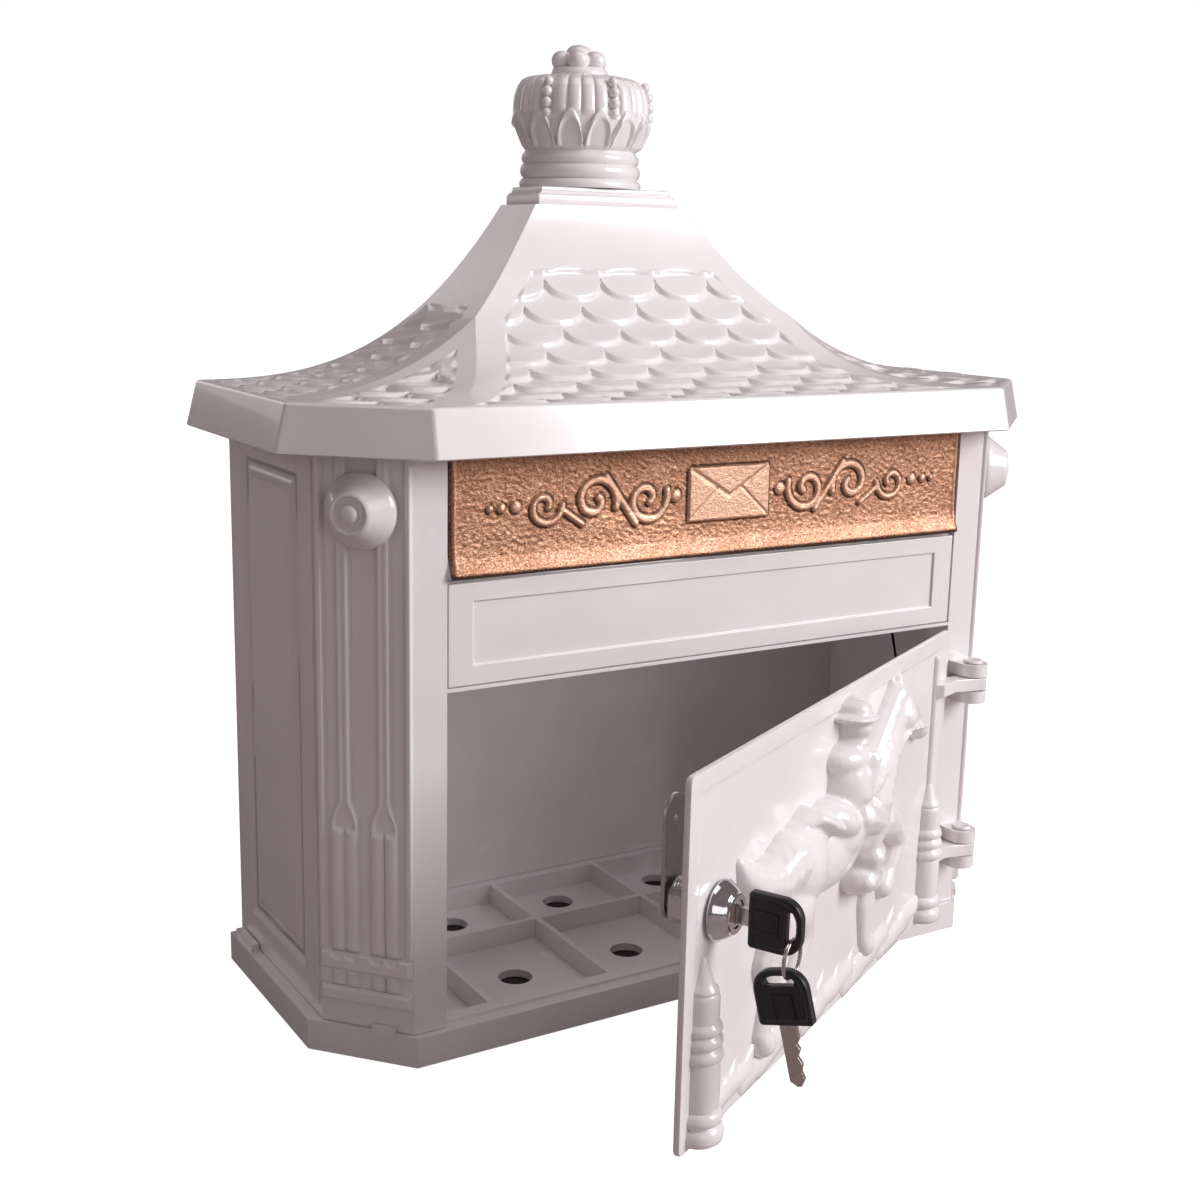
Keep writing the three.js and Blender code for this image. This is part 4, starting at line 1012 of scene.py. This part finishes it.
def door_relief():
    relief = Relief(0.8)
    horse(relief)
    rider(relief)
    made = relief.melted(1.15, 2)
    piece("door_relief_rider", opened(cut_off(made, RELIEF_ROOT)), "door_panel", sharp=80)
    land = Relief(0.5)
    ground(land)
    made = cut_off(land.melted(1.35, 3), RELIEF_ROOT)
    piece("door_relief_ground", opened(made), "door_panel", sharp=80)


EAR_HEIGHT, ARM_HEIGHT, KNUCKLE, PIN = 6.4, 7.6, 7.4, 2.5


def door_arm(level, top):
    high = top - EAR_HEIGHT - 0.5
    low = high - ARM_HEIGHT + 1
    turn = np.radians(np.linspace(-90, 90, 17))
    outline = [(124, DOOR_FACE + 0.9), (126, DOOR_FACE - 5), (140, -151), (HINGE_X - 2, HINGE_Y - KNUCKLE)]
    outline += [(HINGE_X + KNUCKLE * math.cos(a), HINGE_Y + KNUCKLE * math.sin(a)) for a in turn]
    outline += [(HINGE_X - 4, HINGE_Y + KNUCKLE), (144, DOOR_FACE - 0.6), (143, DOOR_FACE + 0.9)]
    rings = np.array([[(x, y, z) for x, y in outline] for z in (low, high)])
    bevel = edge_bevel(0.6, 2, 35)
    made = opened(Shape().closed(rings).bm())
    obj = piece(f"door_arm_{level}", made, "door_panel", sharp=35, modifiers=[("BEVEL", bevel)])
    bore = Shape().lathe([(PIN + 0.3, low - 3), (PIN + 0.3, high + 3)], 32).moved(TO_HINGE)
    cut_by(obj, bore.bm())
    finish_piece(obj, "door_panel", None, None, 35)


door_plate()
door_post("door_post_left", -127.7, 90)
door_post("door_post_right", 126.4, 159)
door_relief()
for level, node in (("upper", "hinge_pin_upper"), ("lower", "hinge_pin_lower")):
    door_arm(level, mm_box(node)[1].z - 1.8)


# ---- Lock ----
BEZEL_FRONT, BARREL_END = DOOR_FACE - 8, DOOR_FACE + 19
FLAT_HALF, BARREL_RADIUS = 7.9, 9.5


def lock_barrel():
    """A bezel and a threaded barrel with two flats."""
    profile = [(5.7, BEZEL_FRONT), (7.6, BEZEL_FRONT), (8.1, BEZEL_FRONT + 0.3), (8.3, BEZEL_FRONT + 0.9),
               (8.6, BEZEL_FRONT + 1.4), (9.4, BEZEL_FRONT + 2.0), (11.7, DOOR_FACE - 2.6),
               (12.3, DOOR_FACE - 1.8), (12.5, DOOR_FACE - 1.0),
               (12.2, DOOR_FACE - 0.35), (9.4, DOOR_FACE - 0.3)]
    turn = full_turn(72)
    rings = [[(r * math.cos(a), y, r * math.sin(a)) for a in turn] for r, y in profile]
    pitch, fine = 1.25, 90
    for y in np.linspace(DOOR_FACE, BARREL_END - 0.6, fine):
        wave = ((y / pitch + turn / (2 * math.pi)) % 1 - 0.5) * 2
        r = BARREL_RADIUS - 0.75 * np.abs(wave)
        x = np.clip(r * np.cos(turn), -FLAT_HALF, FLAT_HALF)
        rings.append(list(zip(x, np.full(72, y), r * np.sin(turn))))
    rings += [[(r * math.cos(a), BARREL_END, r * math.sin(a)) for a in turn] for r in (7.6, 5.7)]
    rings.append(rings[0])
    p = np.array(rings) + (LOCK_X, 0, LOCK_Z)
    piece("lock_barrel_threaded", opened(Shape().grid(p, wrap=True).bm()), "lock_barrel", sharp=30)


def lock_nut():
    near, far = DOOR_BACK + 0.3, DOOR_BACK + 5
    turn = full_turn(96)
    hexed = 10.9 / np.cos((turn + math.pi / 6) % (math.pi / 3) - math.pi / 6)
    chamfered = np.minimum(hexed, 11.3)
    mouth, bore = np.full(96, 10.3), np.full(96, 9.8)
    outside = [(chamfered, near), (hexed, near + 0.7), (hexed, far - 0.7), (chamfered, far)]
    inside = [(mouth, far), (bore, far - 0.4), (bore, near + 0.4), (mouth, near)]
    rings = []
    for radii, y in outside + inside + outside[:1]:
        rings.append([(r * math.cos(a), y, r * math.sin(a)) for r, a in zip(radii, turn)])
    p = np.array(rings) + (LOCK_X, 0, LOCK_Z)
    piece("lock_nut_hex", opened(Shape().grid(p, wrap=True).bm()), "lock_nut", sharp=25)


lock_barrel()
lock_nut()
LOCK_EDGES = {"lock_plug": 0.25, "lock_cam": 0.35, "cam_screw": 0.35}
LOCK_EDGES |= {"key_blade": 0.18, "spare_key_blade": 0.18}
for name, width in LOCK_EDGES.items():
    rounded(name, width)


# ---- Keys ----
BOW_LENGTH, BOW_WIDTH, BOW_THICK = 24.0, 23.0, 4.2
SLOT_WIDTH, SLOT_LENGTH, SLOT_OFFSET = 4.6, 13.0, 4.2
KEY_SHOULDER = BEZEL_FRONT - 3.4
RING_RADIUS, RING_WIRE, RING_ROOM = 7.6, 0.9, 0.8
SPARE_TILT, SPARE_SHIFT = math.radians(14.4), 4.9
KEY_PLACE = DOOR_TURN @ Matrix.Translation((LOCK_X, KEY_SHOULDER, LOCK_Z))
RING_DROP = SLOT_LENGTH / 2 - RING_WIRE - RING_ROOM + RING_RADIUS
RING_PLACE = KEY_PLACE @ Matrix.Translation((0, SLOT_OFFSET - BOW_LENGTH, -RING_DROP))
SPARE_PLACE = (
    RING_PLACE @ Matrix.Translation((0, 0, -RING_RADIUS)) @ Matrix.Rotation(-math.pi / 2 - SPARE_TILT, 4, "X")
    @ Matrix.Translation((0, BOW_LENGTH - SLOT_OFFSET + SLOT_WIDTH / 2 - RING_WIRE - RING_ROOM, SPARE_SHIFT))
)


def bow_outline(inset):
    """A key bow's rounded outline in its own Y and Z, blade side at +Y."""
    half, end, near = BOW_WIDTH / 2 - inset, -BOW_LENGTH + inset, -1.7 - inset
    points = []
    for cy, cz, r, a0 in ((near - 1.6, half - 1.6, 1.6, 0), (end + 8.2, half - 8.2, 8.2, 90),
                          (end + 8.2, -half + 8.2, 8.2, 180), (near - 1.6, -half + 1.6, 1.6, 270)):
        points += corner_arc(cy, cz, max(0.4, r - inset * 0.3), a0, 9)
    return points


def slot_outline(grow):
    """The ring slot's rounded outline, with as many points as the bow's."""
    half, reach = SLOT_WIDTH / 2 + grow, SLOT_LENGTH / 2 + grow
    middle = -BOW_LENGTH + SLOT_OFFSET
    r = 1.4 + grow * 0.5
    points = []
    for sy, sz, a0 in ((1, 1, 0), (-1, 1, 90), (-1, -1, 180), (1, -1, 270)):
        points += corner_arc(middle + sy * (half - r), sz * (reach - r), r, a0, 9)
    return points


def key_bow(name, node, place):
    """A moulded bow with a raised rim, a sunk panel on each face and a slot for the ring."""
    deep, thick = BOW_THICK / 2 - 0.55, BOW_THICK / 2
    flat = lambda outline, x: [(x, y, z) for y, z in outline]
    rim = [(1.9, deep), (1.6, thick - 0.1), (1.2, thick), (0.7, thick), (0.2, thick - 0.25), (0, thick - 0.8)]
    outer = [flat(bow_outline(inset), -x) for inset, x in rim]
    outer += [flat(bow_outline(inset), x) for inset, x in reversed(rim)]
    lip = [(0.9, deep), (0.7, thick - 0.1), (0.35, thick), (0.1, thick - 0.2), (0, thick - 0.6)]
    inner = [flat(slot_outline(grow), x) for grow, x in lip]
    inner += [flat(slot_outline(grow), -x) for grow, x in reversed(lip)]
    shape = Shape().grid(np.array([*outer, *inner, outer[0]]), wrap=True)
    for side in (-1, 1):
        sunk = []
        for grow, rise in ((0, 0.02), (0, 0.45), (0.45, 0.5), (0.6, 0.35), (0.7, 0.02)):
            w, h, x = 5.4 - grow, 4.4 - grow, deep + rise
            around = ((1, 1), (-1, 1), (-1, -1), (1, -1))
            sunk.append([(side * x, -8.6 + w * cy, h * cz) for cy, cz in around])
        shape.grid(np.array([*sunk, sunk[0]]), wrap=True)
    piece(name, shape.moved(place).bm(), node, sharp=40)


def split_ring():
    """Wire wound twice round, its ends lying along the coil."""
    turns, steps, sides = 1.92, 120, 12
    rings = []
    for k in range(steps + 1):
        t = k / steps
        a = -math.pi / 2 + 2 * math.pi * turns * t
        lay = 0.42 * math.tanh((t - 0.5) * 9)
        centre = Vector((RING_RADIUS * math.cos(a), lay, RING_RADIUS * math.sin(a)))
        outward = Vector((math.cos(a), 0, math.sin(a)))
        wire = 0.43
        section = []
        for b in full_turn(sides):
            around = outward * math.cos(b) * 1.35 + Vector((0, 1, 0)) * math.sin(b) * 0.98
            section.append(tuple(centre + wire * around))
        rings.append(section)
    piece("key_ring_split", Shape().closed(np.array(rings)).moved(RING_PLACE).bm(), "key_ring", sharp=60)


key_bow("key_bow_moulded", "key_bow", KEY_PLACE)
key_bow("spare_key_bow_moulded", "spare_key_bow", SPARE_PLACE)
split_ring()


# ---- Everything that keeps its CAD shape ----
for name, obj in nodes.items():
    if not obj.hide_render:
        obj.data.materials.clear()
        obj.data.materials.append(MATERIALS[SLOT_OF[name]])
        obj.data.shade_smooth()
        obj.data.set_sharp_from_angle(angle=math.radians(30))
